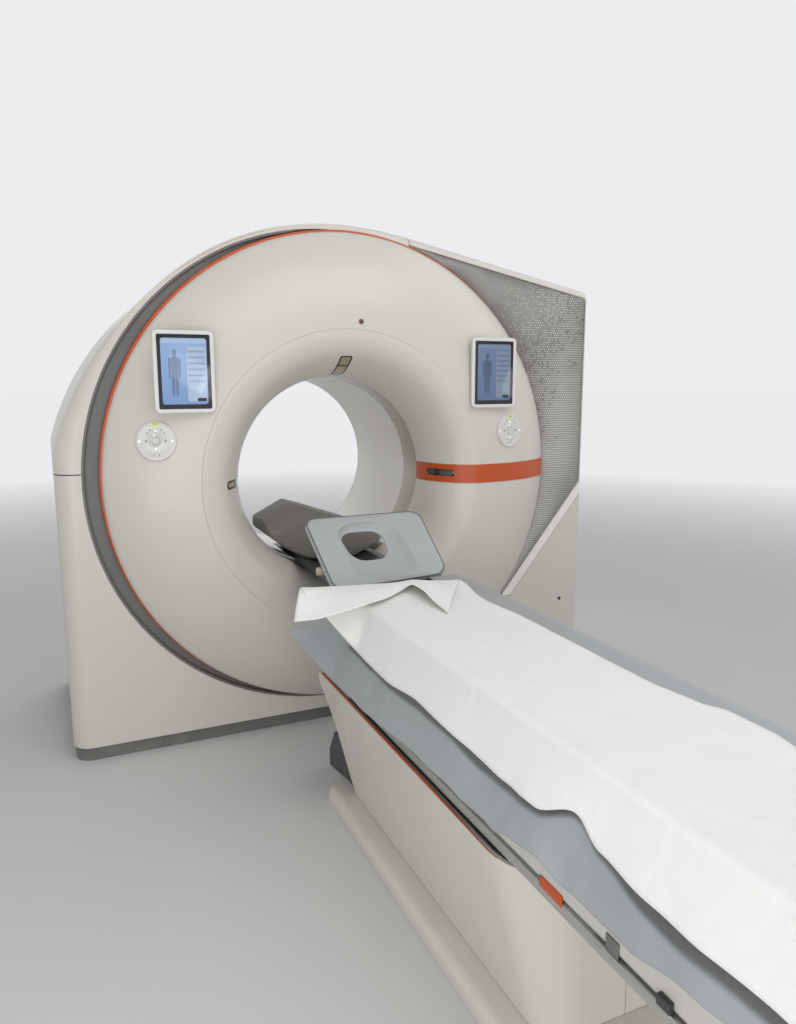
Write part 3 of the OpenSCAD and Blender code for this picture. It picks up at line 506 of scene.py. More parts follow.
roll = turn_profile([(0.5928, crest_y)] + funnel_profile()[1:], (0, bore_z), closed=False,
                    seen_from=(0, -3, bore_z))
middle = Vector((0, 0, bore_z))
hole_start, hole_end, hole_half = 0.424, 0.486, 0.010
for turn in (0, 90, 180):
    d = Vector((math.cos(math.radians(turn)), 0, math.sin(math.radians(turn))))
    e = Vector((-d.z, 0, d.x))
    for place, normal in ((middle + d * hole_start, d), (middle + d * hole_end, d),
                          (middle + e * hole_half, e), (middle - e * hole_half, e)):
        near = set(f for f in roll.faces if (f.calc_center_median() - middle).dot(d) > 0.36)
        near |= {v for f in near for v in f.verts} | {x for f in near for x in f.edges}
        bmesh.ops.bisect_plane(roll, geom=list(near), plane_co=place, plane_no=normal, dist=1e-6)
    drop_faces(roll, lambda f: hole_start < (f.calc_center_median() - middle).dot(d) < hole_end
               and abs((f.calc_center_median() - middle).dot(e)) < hole_half)
set_piece("funnel_roll", roll, "gantry", white_cover, "funnel", crease=50, edge=0.0010,
          wall=wall)
window_film = grained("window film", (0.35, 0.325, 0.235), 0.22, mottling=0.08, scuffs=0.0, coat=0.4)
film = turn_profile([(bore_r, -0.0722), (0.4104, -0.0745), (0.4140, -0.0745), (0.4140, 0.0695),
                     (0.4104, 0.0695), (bore_r, 0.0672)], (0, bore_z))
set_piece("window_film_ring", film, "gantry", window_film, "window_ring")
liner = turn_profile([(0.4103, 0.0712), (0.4112, 0.0702), (0.416, 0.0702), (0.416, 0.6395),
                      (bore_r, 0.6395), (bore_r, 0.0725)], (0, bore_z))
# The liner takes the lighter copy of the white paint, as painted light from the back of the bore.
set_piece("bore_liner_tube", liner, "gantry", painted_lit_white, "bore_liner", crease=50)
flare = [(0.520 - wide * math.cos(math.radians(6 * i)), side_end + deep * math.sin(math.radians(6 * i)))
         for wide, deep, steps in ((0.110, 0.105, range(16)), (0.104, 0.099, range(15, -1, -1)))
         for i in steps]
set_piece("rear_flare", turn_profile(flare, (0, bore_z)), "gantry", white_cover, "rear_funnel",
          crease=50)

# Orange band
# A painted plastic strip follows the funnel and the front cover from the bore to the rim, at the right. It
# is bonded on and leaves the laser window's opening free.
band_lift = 0.0022
strip_rings = []
for i in range(9):
    up = -0.042 + 0.080 * i / 8
    row = list(reversed(funnel_profile(band_lift)))
    row += [(funnel_r + disc_middle[0] + (dome_r + band_lift) * math.sin(math.radians(41.2) * k / 30),
             dome_back - (dome_r + band_lift) * math.cos(math.radians(41.2) * k / 30)) for k in range(31)]
    strip_rings.append([(math.sqrt(r * r - up * up), y, bore_z + up) for r, y in row])
strip = bmesh.new()
loft(strip, strip_rings)
for place, normal in (((hole_start, 0, 0), (1, 0, 0)), ((hole_end, 0, 0), (1, 0, 0)),
                      ((0, 0, bore_z + hole_half), (0, 0, 1)), ((0, 0, bore_z - hole_half), (0, 0, 1))):
    cut_along(strip, place, normal)
drop_faces(strip, lambda f: hole_start < f.calc_center_median().x < hole_end
           and abs(f.calc_center_median().z - bore_z) < hole_half)
look_outward(strip, (0.2, -6, bore_z))
set_piece("orange_band", strip, "gantry", orange_lacquer, "accent_band", edge=0.0004,
          wall=0.0014)

# Laser windows
# Three dark windows in the funnel, at the top and at both sides, from which the positioning lights shine.
# Each is a thin black glass pane on the funnel, with beige or dark lenses in it.
black_glass = grained("black glass", (0.010, 0.010, 0.011), 0.08, mottling=0.1, scuffs=0.0, coat=0.6)
beige_glass = grained("beige glass", (0.34, 0.29, 0.20), 0.12, mottling=0.15, scuffs=0.0, coat=0.6)
lens_glass = grained("lens glass", (0.055, 0.050, 0.048), 0.05, mottling=0.3, scuffs=0.0, coat=1.0)


def rounded_outline(half_w, half_h, r, n=8, middle=(0, 0)):
    """A rounded rectangle as points, counterclockwise from its lower right corner."""
    points = []
    for sx, sy, start in ((1, -1, -90), (1, 1, 0), (-1, 1, 90), (-1, -1, 180)):
        for i in range(n + 1):
            a = math.radians(start + 90 * i / n)
            points.append((middle[0] + sx * (half_w - r) + r * math.cos(a),
                           middle[1] + sy * (half_h - r) + r * math.sin(a)))
    return points


def finer(points, step):
    """The same outline with more points along its straight sides."""
    made = []
    for (x0, y0), (x1, y1) in zip(points, points[1:] + points[:1]):
        count = max(1, round(math.hypot(x1 - x0, y1 - y0) / step))
        made += [(x0 + (x1 - x0) * k / count, y0 + (y1 - y0) * k / count) for k in range(count)]
    return made


def lay_pane(bm, turn, at, half_l, half_w, r, lift, index=0):
    """A thin rounded pane on the funnel's skin, long along the radius, with its middle at a radius."""
    d = Vector((math.cos(math.radians(turn)), 0, math.sin(math.radians(turn))))
    e = Vector((-d.z, 0, d.x))
    rings = []
    for size, height in ((1, -0.0015), (1, lift * 0.6), (0.97, lift), (0.8, lift), (0.6, lift),
                         (0.4, lift), (0.2, lift), (0.02, lift)):
        ring = []
        for u, v in finer(rounded_outline(half_l, half_w, r), 0.003):
            flat = d * (at + u * size) + e * (v * size)
            slope = (funnel_depth(flat.length + 5e-4) - funnel_depth(flat.length - 5e-4)) / 1e-3
            out = Vector((slope, -1)).normalized()
            ring.append(flat + flat.normalized() * out.x * height
                        + Vector((0, funnel_depth(flat.length) + out.y * height, bore_z)))
        rings.append(ring)
    before = set(bm.faces)
    _, (last, _) = loft(bm, rings, closed=True)
    bm.faces.new(last)
    made = [f for f in bm.faces if f not in before]
    bmesh.ops.recalc_face_normals(bm, faces=made)
    if sum(f.normal.y * f.calc_area() for f in made) > 0:
        bmesh.ops.reverse_faces(bm, faces=made)
    for f in made:
        f.material_index = index


panes = bmesh.new()
for turn, stand, wide, parts in (
        (90, 0, 0.026, [(0.4375, 0.0145, 0.0200, 0.003, 1), (0.4720, 0.0145, 0.0200, 0.003, 1)]),
        (0, band_lift, 0.015, [(0.433, 0.0085, 0.0095, 0.0084, 2), (0.455, 0.0095, 0.0095, 0.0088, 2),
                               (0.477, 0.0085, 0.0095, 0.0084, 2)]),
        (180, 0, 0.017, [(0.4365, 0.0130, 0.0100, 0.0095, 2), (0.4705, 0.0150, 0.0085, 0.004, 1)])):
    lay_pane(panes, turn, (hole_start + hole_end) / 2, 0.036, wide, 0.007 if wide > 0.02 else 0.013,
             stand + 0.0006)
    for at, half_l, half_w, r, index in parts:
        lay_pane(panes, turn, at, half_l, half_w, r, stand + 0.0010, index)
set_piece("laser_window_panes", panes, "gantry", [black_glass, beige_glass, lens_glass],
          "laser_windows", crease=50)

# Status sensor
# A small red glass window in a grey plastic collar, pressed into the front cover above the bore. It shows
# whether the rotor is live.


def on_dome(x, z):
    """A place on the front cover, with Z along its outward normal and Y upwards."""
    turn = math.atan2(z - disc_middle[1], x - disc_middle[0])
    out = math.hypot(x - disc_middle[0], z - disc_middle[1]) - funnel_r
    return (Matrix.Translation((x, dome_depth(x, z), z))
            @ Matrix.Rotation(math.asin(out / dome_r), 4, Vector((-math.sin(turn), 0, math.cos(turn))))
            @ Matrix.Rotation(math.radians(90), 4, "X"))


def spin_up(bm, profile, steps=48, index=0):
    """Spins a profile of (radius, height) once round Z."""
    before = set(bm.faces)
    verts, edges = lay_chain(bm, [(r, 0, z) for r, z in profile])
    bmesh.ops.spin(bm, geom=verts + edges, cent=(0, 0, 0), axis=(0, 0, 1), angle=2 * math.pi,
                   steps=steps, use_merge=True, use_duplicate=False)
    bmesh.ops.remove_doubles(bm, verts=bm.verts[:], dist=1e-6)
    made = [f for f in bm.faces if f not in before]
    for f in made:
        f.material_index = index
    bmesh.ops.recalc_face_normals(bm, faces=made)


red_window = grained("red window", (0.10, 0.012, 0.010), 0.12, scuffs=0.0, coat=0.6)
sensor = bmesh.new()
spin_up(sensor, [(0, -0.001), (0.0080, -0.001), (0.0080, 0.0008), (0.0074, 0.0016), (0.0060, 0.0016),
                 (0.0055, 0.0010), (0.0055, 0.0004), (0, 0.0004)])
spin_up(sensor, [(0, 0.0003), (0.0054, 0.0003), (0.0054, 0.0010), (0.0042, 0.0018), (0.0020, 0.0023),
                 (0, 0.0024)], index=1)
sensor.transform(on_dome(0.045, 1.686) @ Matrix.Scale(1.35, 4))
set_piece("status_sensor_lens", sensor, "gantry", [grey_trim, red_window], "status_sensor")

# Control discs and their keys
# A round touch panel sits on each side of the front cover: a glossy disc with lit spots, a green field
# at its top, and one key in its middle that can be pressed.


def marks(tree, u, v, places):
    """One mask of soft-edged marks, each (x, y, half width, half height, squareness)."""
    total = None
    for x, y, w, h, power in places:
        across = maths(tree, "POWER", maths(tree, "ABSOLUTE", maths(
            tree, "MULTIPLY_ADD", u, 1 / w, -x / w)), float(power))
        upward = maths(tree, "POWER", maths(tree, "ABSOLUTE", maths(
            tree, "MULTIPLY_ADD", v, 1 / h, -y / h)), float(power))
        mask = stretch(tree, maths(tree, "ADD", across, upward), 1.25, 0.85)
        total = mask if total is None else maths(tree, "MAXIMUM", total, mask)
    return total


disc_face, tree, skin = new_material("control disc")
flat = wire(tree, "ShaderNodeSeparateXYZ", {0: wire(tree, "ShaderNodeUVMap", uv_map="face").outputs[0]})
u, v = flat.outputs["X"], flat.outputs["Y"]
texture = wire(tree, "ShaderNodeGroup", inputs={
    "Colour": (0.64, 0.62, 0.585, 1), "Mottling": 0.03, "Scuffs": 0.0, "Roughness": 0.16, "Grain Depth": 0.0},
    node_tree=surface_grain)
radial = maths(tree, "SQRT", maths(tree, "ADD", maths(tree, "MULTIPLY", u, u), maths(tree, "MULTIPLY", v, v)))
# A darker ring round the key is painted shade standing for a groove; the darker low arc is a line on the
# disc.
key_groove_shade = stretch(tree, maths(tree, "ABSOLUTE", maths(tree, "SUBTRACT", radial, 0.20)), 0.022, 0.010)
bowl = stretch(tree, maths(tree, "ABSOLUTE", maths(tree, "SUBTRACT", radial, 0.43)), 0.035, 0.015)
low_arc = maths(tree, "MULTIPLY", bowl, stretch(tree, v, -0.30, -0.36))
groove_shade_and_arc = maths(tree, "MAXIMUM", maths(tree, "MULTIPLY", key_groove_shade, 0.45),
             maths(tree, "MULTIPLY", low_arc, 0.35))
colour = blend_colour(tree, groove_shade_and_arc, texture.outputs["Colour"], (0.30, 0.29, 0.28))
grey_marks = marks(tree, u, v, [(-0.35, 0.0, 0.035, 0.05, 4), (0.35, 0.0, 0.035, 0.05, 4),
                                (-0.20, 0.40, 0.03, 0.03, 2), (0.20, 0.40, 0.03, 0.03, 2),
                                (-0.10, -0.52, 0.02, 0.035, 4), (0.10, -0.52, 0.02, 0.035, 4),
                                (-0.30, 0.30, 0.03, 0.02, 4), (0.30, 0.30, 0.03, 0.02, 4)])
colour = blend_colour(tree, grey_marks, colour, (0.24, 0.23, 0.22))
green = marks(tree, u, v, [(0.0, 0.61, 0.125, 0.065, 6)])
colour = blend_colour(tree, green, colour, (0.42, 0.52, 0.06))
green_bars = marks(tree, u, v, [(-0.05, 0.61, 0.025, 0.03, 6), (0.02, 0.61, 0.02, 0.03, 6),
                                (0.07, 0.61, 0.012, 0.03, 6)])
colour = blend_colour(tree, green_bars, colour, (0.10, 0.13, 0.03))
tree.links.new(colour, skin.inputs["Base Color"])
tree.links.new(texture.outputs["Roughness"], skin.inputs["Roughness"])
lit = marks(tree, u, v, [(0, 0.38, 0.03, 0.03, 2), (-0.06, 0.22, 0.026, 0.026, 2),
                         (-0.60, 0, 0.035, 0.035, 2), (0.59, 0, 0.035, 0.035, 2), (0, -0.28, 0.03, 0.03, 2)])
glow = blend_colour(tree, lit, (0.0, 0.0, 0.0), (1.0, 1.0, 0.98))
glow = blend_colour(tree, maths(tree, "MULTIPLY", green, 0.35), glow, (0.42, 0.60, 0.05))
tree.links.new(glow, skin.inputs["Emission Color"])
skin.inputs["Emission Strength"].default_value = 0.9
skin.inputs["Coat Weight"].default_value = 0.5
skin.inputs["Coat Roughness"].default_value = 0.06
key_plastic = grained("key plastic", (0.60, 0.59, 0.57), 0.22, scuffs=0.0, coat=0.3)
for side, word in ((-1, "left"), (1, "right")):
    seat = on_dome(side * 0.743, 1.243)
    disc = bmesh.new()
    spin_up(disc, [(0.0145, -0.004), (0.0145, 0.0044), (0.0150, 0.0056), (0.0162, 0.0060), (0.0235, 0.0058),
                   (0.0250, 0.0054), (0.0300, 0.0052), (0.0420, 0.0052), (0.0560, 0.0055), (0.0640, 0.0060),
                   (0.0690, 0.0059), (0.0712, 0.0052), (0.0722, 0.0040), (0.0725, 0.0025), (0.0725, -0.0066),
                   (0.0705, -0.0068)], 96)
    face_map = disc.loops.layers.uv.new("face")
    for f in disc.faces:
        for corner in f.loops:
            corner[face_map].uv = (corner.vert.co.x / 0.1, corner.vert.co.y / 0.1)
    disc.transform(seat)
    look_outward(disc, (0, -8, 1.2))
    set_piece("control_disc_" + word, disc, "gantry", disc_face, "control_panel_" + word,
              crease=50)
    key = bmesh.new()
    spin_up(key, [(0, 0.0030), (0.0136, 0.0030), (0.0140, 0.0036), (0.0140, 0.0062), (0.0136, 0.0070),
                  (0.0126, 0.0075), (0.0105, 0.0075), (0.0090, 0.0071), (0.0050, 0.0066), (0, 0.0065)], 64)
    key.transform(seat)
    set_piece("disc_key_" + word, key, "key_" + word, key_plastic, "centre_key_" + word)

# Tablets
# Two touch tablets in white frames are held by magnets on docks on the front cover. Their screens show
# a plain figure and rows of settings.
tablet_shell = grained("tablet shell", (0.68, 0.67, 0.655), 0.3, mottling=0.02, scuffs=0.04, coat=0.2)
for side, word, glow_level in ((-1, "left", 0.92), (1, "right", 0.42)):
    middle_x, middle_z, front = side * 0.640, 1.490, -0.3543
    screen, tree, skin = new_material("tablet screen " + word)
    moved = wire(tree, "ShaderNodeMapping", {0: wire(tree, "ShaderNodeTexCoord").outputs["Object"]},
                 {"Location": (-middle_x, 0, -middle_z)})
    flat = wire(tree, "ShaderNodeSeparateXYZ", {0: moved.outputs[0]})
    u, v = flat.outputs["X"], flat.outputs["Z"]
    colour = blend_colour(tree, stretch(tree, v, -0.11, 0.11), (0.20, 0.33, 0.60), (0.30, 0.44, 0.70))
    for places, tone in (
            ([(0, 0.108, 0.080, 0.008, 16)], (0.40, 0.52, 0.72)),
            ([(0.043, -0.008, 0.034, 0.096, 16)], (0.42, 0.52, 0.70)),
            ([(0.043, 0.072 - 0.021 * i, 0.030, 0.0035, 8) for i in range(6)], (0.27, 0.37, 0.55)),
            ([(-0.034, 0.068, 0.0085, 0.011, 2), (-0.034, 0.054, 0.0035, 0.006, 4),
              (-0.034, 0.028, 0.0145, 0.026, 3), (-0.034, -0.004, 0.0125, 0.016, 3),
              (-0.0405, -0.045, 0.0055, 0.040, 4), (-0.0275, -0.045, 0.0055, 0.040, 4),
              (-0.0515, 0.014, 0.0036, 0.036, 4), (-0.0165, 0.014, 0.0036, 0.036, 4)], (0.14, 0.21, 0.36)),
            ([(0.058, -0.098, 0.016, 0.006, 8)], (0.02, 0.03, 0.05))):
        colour = blend_colour(tree, marks(tree, u, v, places), colour, tone)
    lit_area = marks(tree, u, v, [(0, 0.002, 0.080, 0.116, 24)])
    colour = blend_colour(tree, lit_area, (0.010, 0.010, 0.012), colour)
    tree.links.new(colour, skin.inputs["Emission Color"])
    skin.inputs["Base Color"].default_value = (0.010, 0.010, 0.012, 1)
    skin.inputs["Emission Strength"].default_value = glow_level
    skin.inputs["Roughness"].default_value = 0.09
    shell = bmesh.new()
    rings = []
    for inset, y in ((0.006, 0.0180), (0.002, 0.0172), (0, 0.0150), (0, 0.0045), (0.0008, 0.0018),
                     (0.0026, 0.0003), (0.0050, 0.0), (0.0120, 0.0), (0.0136, 0.0003), (0.0145, 0.0012)):
        rings.append([(middle_x + x, front + y, middle_z + z)
                      for x, z in rounded_outline(0.1075 - inset, 0.146 - inset, max(0.019 - inset, 0.006))])
    (back_ring, _), (glass_ring, _) = loft(shell, rings, closed=True)
    shell.faces.new(back_ring)
    shell.faces.new(glass_ring).material_index = 1
    look_outward(shell)
    set_piece("tablet_frame_" + word, shell, "tablet_" + word, [tablet_shell, screen],
              "tablet_" + word, crease=50)

# Parts that keep their CAD shape
# Cast and welded frame, bearing, drive, rotor and the table's columns keep the shape of the frame and get
# their own finish: paint, bare steel, copper, aluminium and dark plastic.
cast_paint = grained("cast paint", (0.30, 0.31, 0.32), 0.55, mottling=0.15, scuffs=0.3, grain=300, depth=0.35)
ground_steel = grained("ground steel", (0.55, 0.56, 0.57), 0.28, metallic=1.0, mottling=0.12, grain=1400)
brushed_metal = grained("brushed metal", (0.62, 0.62, 0.61), 0.32, metallic=1.0, mottling=0.1, grain=600)
drum_metal = grained("drum aluminium", (0.60, 0.61, 0.62), 0.38, metallic=1.0, mottling=0.15, grain=500)
copper = grained("copper winding", (0.60, 0.27, 0.12), 0.35, metallic=1.0, mottling=0.2, grain=350, depth=0.3)
dark_metal = grained("dark metal", (0.065, 0.065, 0.068), 0.4, metallic=0.4, mottling=0.15, scuffs=0.2)
black_plastic = grained("black plastic", (0.018, 0.018, 0.019), 0.35, mottling=0.1)
carbon_skin = grained("carbon skin", (0.028, 0.029, 0.031), 0.38, mottling=0.25, scuffs=0.05, grain=500,
                      depth=0.10, coat=0.1)
skirt_grey = grained("skirt grey", (0.34, 0.335, 0.315), 0.5, mottling=0.08)
for material, names in (
        (cast_paint, "base_frame stator_frame lift_outer_columns generators"),
        (ground_steel, "bearing_outer_race bearing_inner_race bearing_balls lift_inner_columns lift_spindle"),
        (drum_metal, "rotor_drum xray_tube"), (copper, "drive_stator slip_ring"),
        (dark_metal, "magnet_ring collimator detector_arc balance_weight link_bracket"),
        (black_plastic, "brush_block"), (white_cover, "tablet_dock_left tablet_dock_right"),
        (grey_trim, "base_plinth"), (skirt_grey, "skirt"),
        (carbon_skin, "tabletop extension_tray head_rest_base")):
    for name in names.split():
        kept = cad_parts[name]
        if not kept.material_slots:
            kept.data.materials.append(material)
        for entry in kept.material_slots:
            entry.material = material

# Side lock
# A small round lock of dark metal is screwed into the lower right cover, near its edge. It frees the side
# cover for service.
lock = bmesh.new()
spin_up(lock, [(0, 0.0002), (0.0016, 0.0002), (0.0016, 0.0012), (0.0058, 0.0012), (0.0062, 0.0014),
               (0.0080, 0.0014), (0.0088, 0.0010), (0.0090, 0.0), (0.0090, -0.006), (0, -0.006)])
lock.transform(Matrix.Translation((1.140, front_y, 0.400)) @ Matrix.Rotation(math.radians(90), 4, "X"))
set_piece("side_lock", lock, "gantry", dark_metal)

# Floor plinth of the table
# A low white plastic foot with a broad rounded lip, bolted to the floor around the table's columns.
foot = bmesh.new()
steps = [(0.0015, 0.0015, 0.0), (0.0, 0.0, 0.0015)]
for i in range(8):
    a = math.radians(90 * i / 7)
    inset = 0.030 * (1 - math.cos(a))
    steps.append((inset, inset * 0.6, 0.0185 + 0.0290 * math.sin(a)))
(bottom, _), (top, _) = loft(foot, [
    [(x, y, z) for x, y in rounded_outline(0.290 - inset, 0.670 - inset, 0.070 - tighter, 10, (0, -1.440))]
    for inset, tighter, z in steps], closed=True)
foot.faces.new(bottom)
foot.faces.new(top)
look_outward(foot)
set_piece("table_foot", foot, "gantry", white_cover, "floor_plinth", crease=40)

# Pedestal panels
# Two moulded covers hide the table's columns. They lean outwards towards the top, end in a nose at the
# gantry, and are split there by a joint so that the nose can come off.


def pedestal_head(z):
    """Where the panel ends towards the gantry at a height."""
    if z > 0.410:
        return -0.730 + math.sqrt(max(0.030 ** 2 - (z - 0.410) ** 2, 0))
    steps = ((0.048, -0.900), (0.170, -0.850), (0.275, -0.805), (0.395, -0.700), (0.411, -0.700))
    for (z0, y0), (z1, y1) in zip(steps, steps[1:]):
        if z <= z1:
            return y0 + (y1 - y0) * (z - z0) / (z1 - z0)


panel_top, panel_rear, nose_start, nose_end = 0.4399, -2.030, -0.9315, -0.9285
for side, word in ((-1, "left"), (1, "right")):
    rings = []
    for z in (0.0482, 0.06, 0.09, 0.13, 0.17, 0.20, 0.24, 0.275, 0.31, 0.35, 0.38, 0.395, 0.410, 0.418, 0.426,
              0.4325, 0.437, panel_top):
        grown = (z - 0.048) / 0.3915
        half, corner = 0.216 + 0.064 * grown, 0.090 + 0.060 * grown
        row = [(x, panel_rear) for x in (0.001, 0.04, half - corner - 0.02)]
        for i in range(13):
            a = math.radians(90 * i / 12)
            row.append((half - corner + corner * math.sin(a), panel_rear + corner * (1 - math.cos(a))))
        head = pedestal_head(z)
        row += [(half, y) for y in (-1.80, -1.50, -1.20, -1.00, -0.945, head - 0.02, head)]
        rings.append([(side * x, y, z) for x, y in row])
    panel = bmesh.new()
    loft(panel, rings)
    for y in (nose_start, nose_end):
        cut_along(panel, (0, y, 0), (0, 1, 0))
    drop_faces(panel, lambda f: nose_start < f.calc_center_median().y < nose_end)
    look_outward(panel, (side * 4, -2.5, 0.3))
    set_piece("pedestal_cover_" + word, panel, "gantry", white_cover, "pedestal_panel_" + word,
              crease=40, edge=0.0022, wall=0.012)

# Accent strips
# A thin orange plastic strip is clipped on the upper edge of each pedestal panel and thins out at its rear
# end. A grey ledge closes the gap behind it.
for name, material, slot, replaced, profile in (
        ("accent_strips", orange_lacquer, "orange_accent", "table_accent_line",
         ((0.0052, 0), (0.0050, 0.0050), (0.0042, 0.0058), (0.0012, 0.0058), (0.0003, 0.0050), (0, 0))),
        ("accent_ledges", skirt_grey, "grey_trim", (),
         ((0.0116, 0), (0.0116, 0.0036), (0.0112, 0.0040), (0.0054, 0.0040), (0.0054, 0)))):
    strips = bmesh.new()
    for side in (-1, 1):
        rings = []
        for i in range(48):
            y = -1.915 + 1.170 * i / 47
            out = 0.2795 if y > -1.880 else 0.1295 + math.sqrt(0.150 ** 2 - (y + 1.880) ** 2)
            full = 0.25 + 0.75 * min(1, i / 14) if slot == "orange_accent" else 1
            rings.append([(side * (out - a * full), y, panel_top + up * full) for a, up in profile])
        (start, _), (stop, _) = loft(strips, rings, closed=True)
        strips.faces.new(start)
        strips.faces.new(stop)
    look_outward(strips)
    set_piece(name, strips, "gantry", material, replaced, crease=50)

# Table beam
# The beam is a long painted sheet-metal box that rises with the columns. Two steel rails on it carry the
# sliding top.


def soften(bm, edges, width, segments=2):
    """Rounds edges off."""
    bmesh.ops.bevel(bm, geom=list(edges), offset=width, segments=segments, affect="EDGES", profile=0.5,
                    material=-1)


def add_box(bm, centre, size, soft=0.0, segments=2):
    """A box by its middle and its size, with its edges rounded off."""
    made = bmesh.ops.create_cube(bm, size=1, matrix=Matrix.Translation(centre) @ Matrix.Diagonal((*size, 1)))
    if soft:
        soften(bm, {e for v in made["verts"] for e in v.link_edges}, soft, segments)


beam_paint = grained("beam paint", (0.56, 0.54, 0.50), 0.36, mottling=0.04, scuffs=0.1, coat=0.1)
beam = bmesh.new()
add_box(beam, (0, -1.945, 0.537), (0.530, 2.190, 0.122))
soften(beam, [e for e in beam.edges if abs(e.verts[0].co.z - e.verts[1].co.z) > 0.1], 0.045, 8)
soften(beam, [e for e in beam.edges if abs(e.verts[0].co.z - e.verts[1].co.z) < 1e-5], 0.016, 5)
set_piece("beam_box", beam, "lift", beam_paint, "table_beam", crease=40)
for side, word in ((-1, "left"), (1, "right")):
    rail = bmesh.new()
    add_box(rail, (side * 0.150, -1.945, 0.6433), (0.040, 2.130, 0.0926), 0.002)
    set_piece("slide_rail_" + word, rail, "lift", ground_steel)

# Trims on the beam
# A grey rail runs under each side of the beam. Along the beam's lower edge lies a bright metal strip with a
# clamp block, and near it are an orange tab and a small grey one.
for side, word in ((-1, "left"), (1, "right")):
    rail = bmesh.new()
    add_box(rail, (side * 0.25525, -1.950, 0.46225), (0.0205, 2.100, 0.0245), 0.0015)
    add_box(rail, (side * 0.24775, -1.930, 0.47525), (0.0045, 2.040, 0.0045), 0.0015)
    set_piece("lower_rail_" + word, rail, "lift", skirt_grey)
for name, material, slot, replaced, (x, y, z), size, soft in (
        ("edge_strips", brushed_metal, "bearing_steel", "beam_trim", (0.2683, -2.635, 0.4745),
         (0.006, 0.810, 0.009), 0.0015),
        ("clamp_blocks", dark_metal, "dark_metal", (), (0.27065, -2.410, 0.490),
         (0.0107, 0.030, 0.020), 0.002),
        ("orange_tabs", orange_lacquer, "orange_accent", (), (0.26655, -2.0975, 0.480),
         (0.0025, 0.075, 0.024), 0.001),
        ("grey_tabs", grey_trim, "grey_trim", (), (0.2668, -2.279, 0.492), (0.003, 0.034, 0.032), 0.001)):
    trims = bmesh.new()
    for side in (-1, 1):
        add_box(trims, (side * x, y, z), size, soft)
    set_piece(name, trims, "lift", material, replaced)

# Mattress
# A foam pad in grey coated fabric, as long as the sliding top and loose on it. Its edges are rounded and
# its upper side is slightly uneven.
soft_skin = skin_group("soft skin", {
    "Colour": (0.4, 0.4, 0.4, 1), "Shade": 0.08, "Weave Scale": 600, "Crumple Scale": 9, "Crumple": 0.3,
    "Roughness": 0.5})
given = wire(soft_skin, "NodeGroupInput").outputs
place = wire(soft_skin, "ShaderNodeTexCoord").outputs["Object"]
slow = wire(soft_skin, "ShaderNodeTexNoise", {"Vector": place}, {"Scale": 6, "Detail": 5})
cells = wire(soft_skin, "ShaderNodeTexVoronoi", {"Vector": place, "Scale": given["Weave Scale"]})
creases = wire(soft_skin, "ShaderNodeTexNoise", {"Vector": place, "Scale": given["Crumple Scale"]},
               {"Detail": 5, "Roughness": 0.55, "Distortion": 0.6})
shade = maths(soft_skin, "MULTIPLY_ADD", stretch(soft_skin, slow.outputs["Fac"], 0.3, 0.7, -0.5, 0.5),
              given["Shade"], 1.0)
toned = wire(soft_skin, "ShaderNodeVectorMath", {0: given["Colour"], "Scale": shade}, operation="SCALE")
soft_bump = wire(soft_skin, "ShaderNodeBump", {
    "Height": creases.outputs["Fac"], "Strength": given["Crumple"]}, {"Distance": 0.012})
fine_bump = wire(soft_skin, "ShaderNodeBump", {
    "Height": cells.outputs["Distance"], "Normal": soft_bump.outputs[0]},
    {"Strength": 0.18, "Distance": 0.0005})
wire(soft_skin, "NodeGroupOutput", {
    "Colour": toned.outputs[0], "Normal": fine_bump.outputs[0],
    "Roughness": maths(soft_skin, "ADD", stretch(soft_skin, slow.outputs["Fac"], 0.3, 0.7, -0.06, 0.06),
                       given["Roughness"])})


def coated(name, colour, roughness=0.5, shade=0.08, weave=600, crumple_scale=9, crumple=0.3, sheen=0.0):
    """A coated fabric, paper or foam skin, with its weave, soft creases and slow change of tone."""
    made, tree, skin = new_material(name)
    lay_texture(tree, skin, soft_skin, {
        "Colour": (*colour, 1), "Shade": shade, "Weave Scale": weave, "Crumple": crumple,
        "Crumple Scale": crumple_scale, "Roughness": roughness})
    skin.inputs["Sheen Weight"].default_value = sheen
    return made


grey_vinyl = coated("grey coated fabric", (0.335, 0.350, 0.358), 0.48, crumple=0.28, sheen=0.1)
pad = bmesh.new()
add_box(pad, (0, -1.905, 0.74025), (0.444, 2.150, 0.0305))
bmesh.ops.subdivide_edges(pad, edges=[e for e in pad.edges if abs(e.verts[0].co.y - e.verts[1].co.y) > 1],
                          cuts=85, use_grid_fill=True)
bmesh.ops.subdivide_edges(pad, edges=[e for e in pad.edges if abs(e.verts[0].co.x - e.verts[1].co.x) > 0.4],
                          cuts=17, use_grid_fill=True)
soften(pad, [e for e in pad.edges if e.calc_face_angle(0) > 1], 0.011, 4)
for v in pad.verts:
    if v.co.z > 0.7550:
        v.co.z -= 0.0016 * (0.5 + 0.5 * noise.noise(v.co * 5.0))
mattress = set_piece("mattress_pad", pad, "table_top", grey_vinyl, "mattress", crease=80)

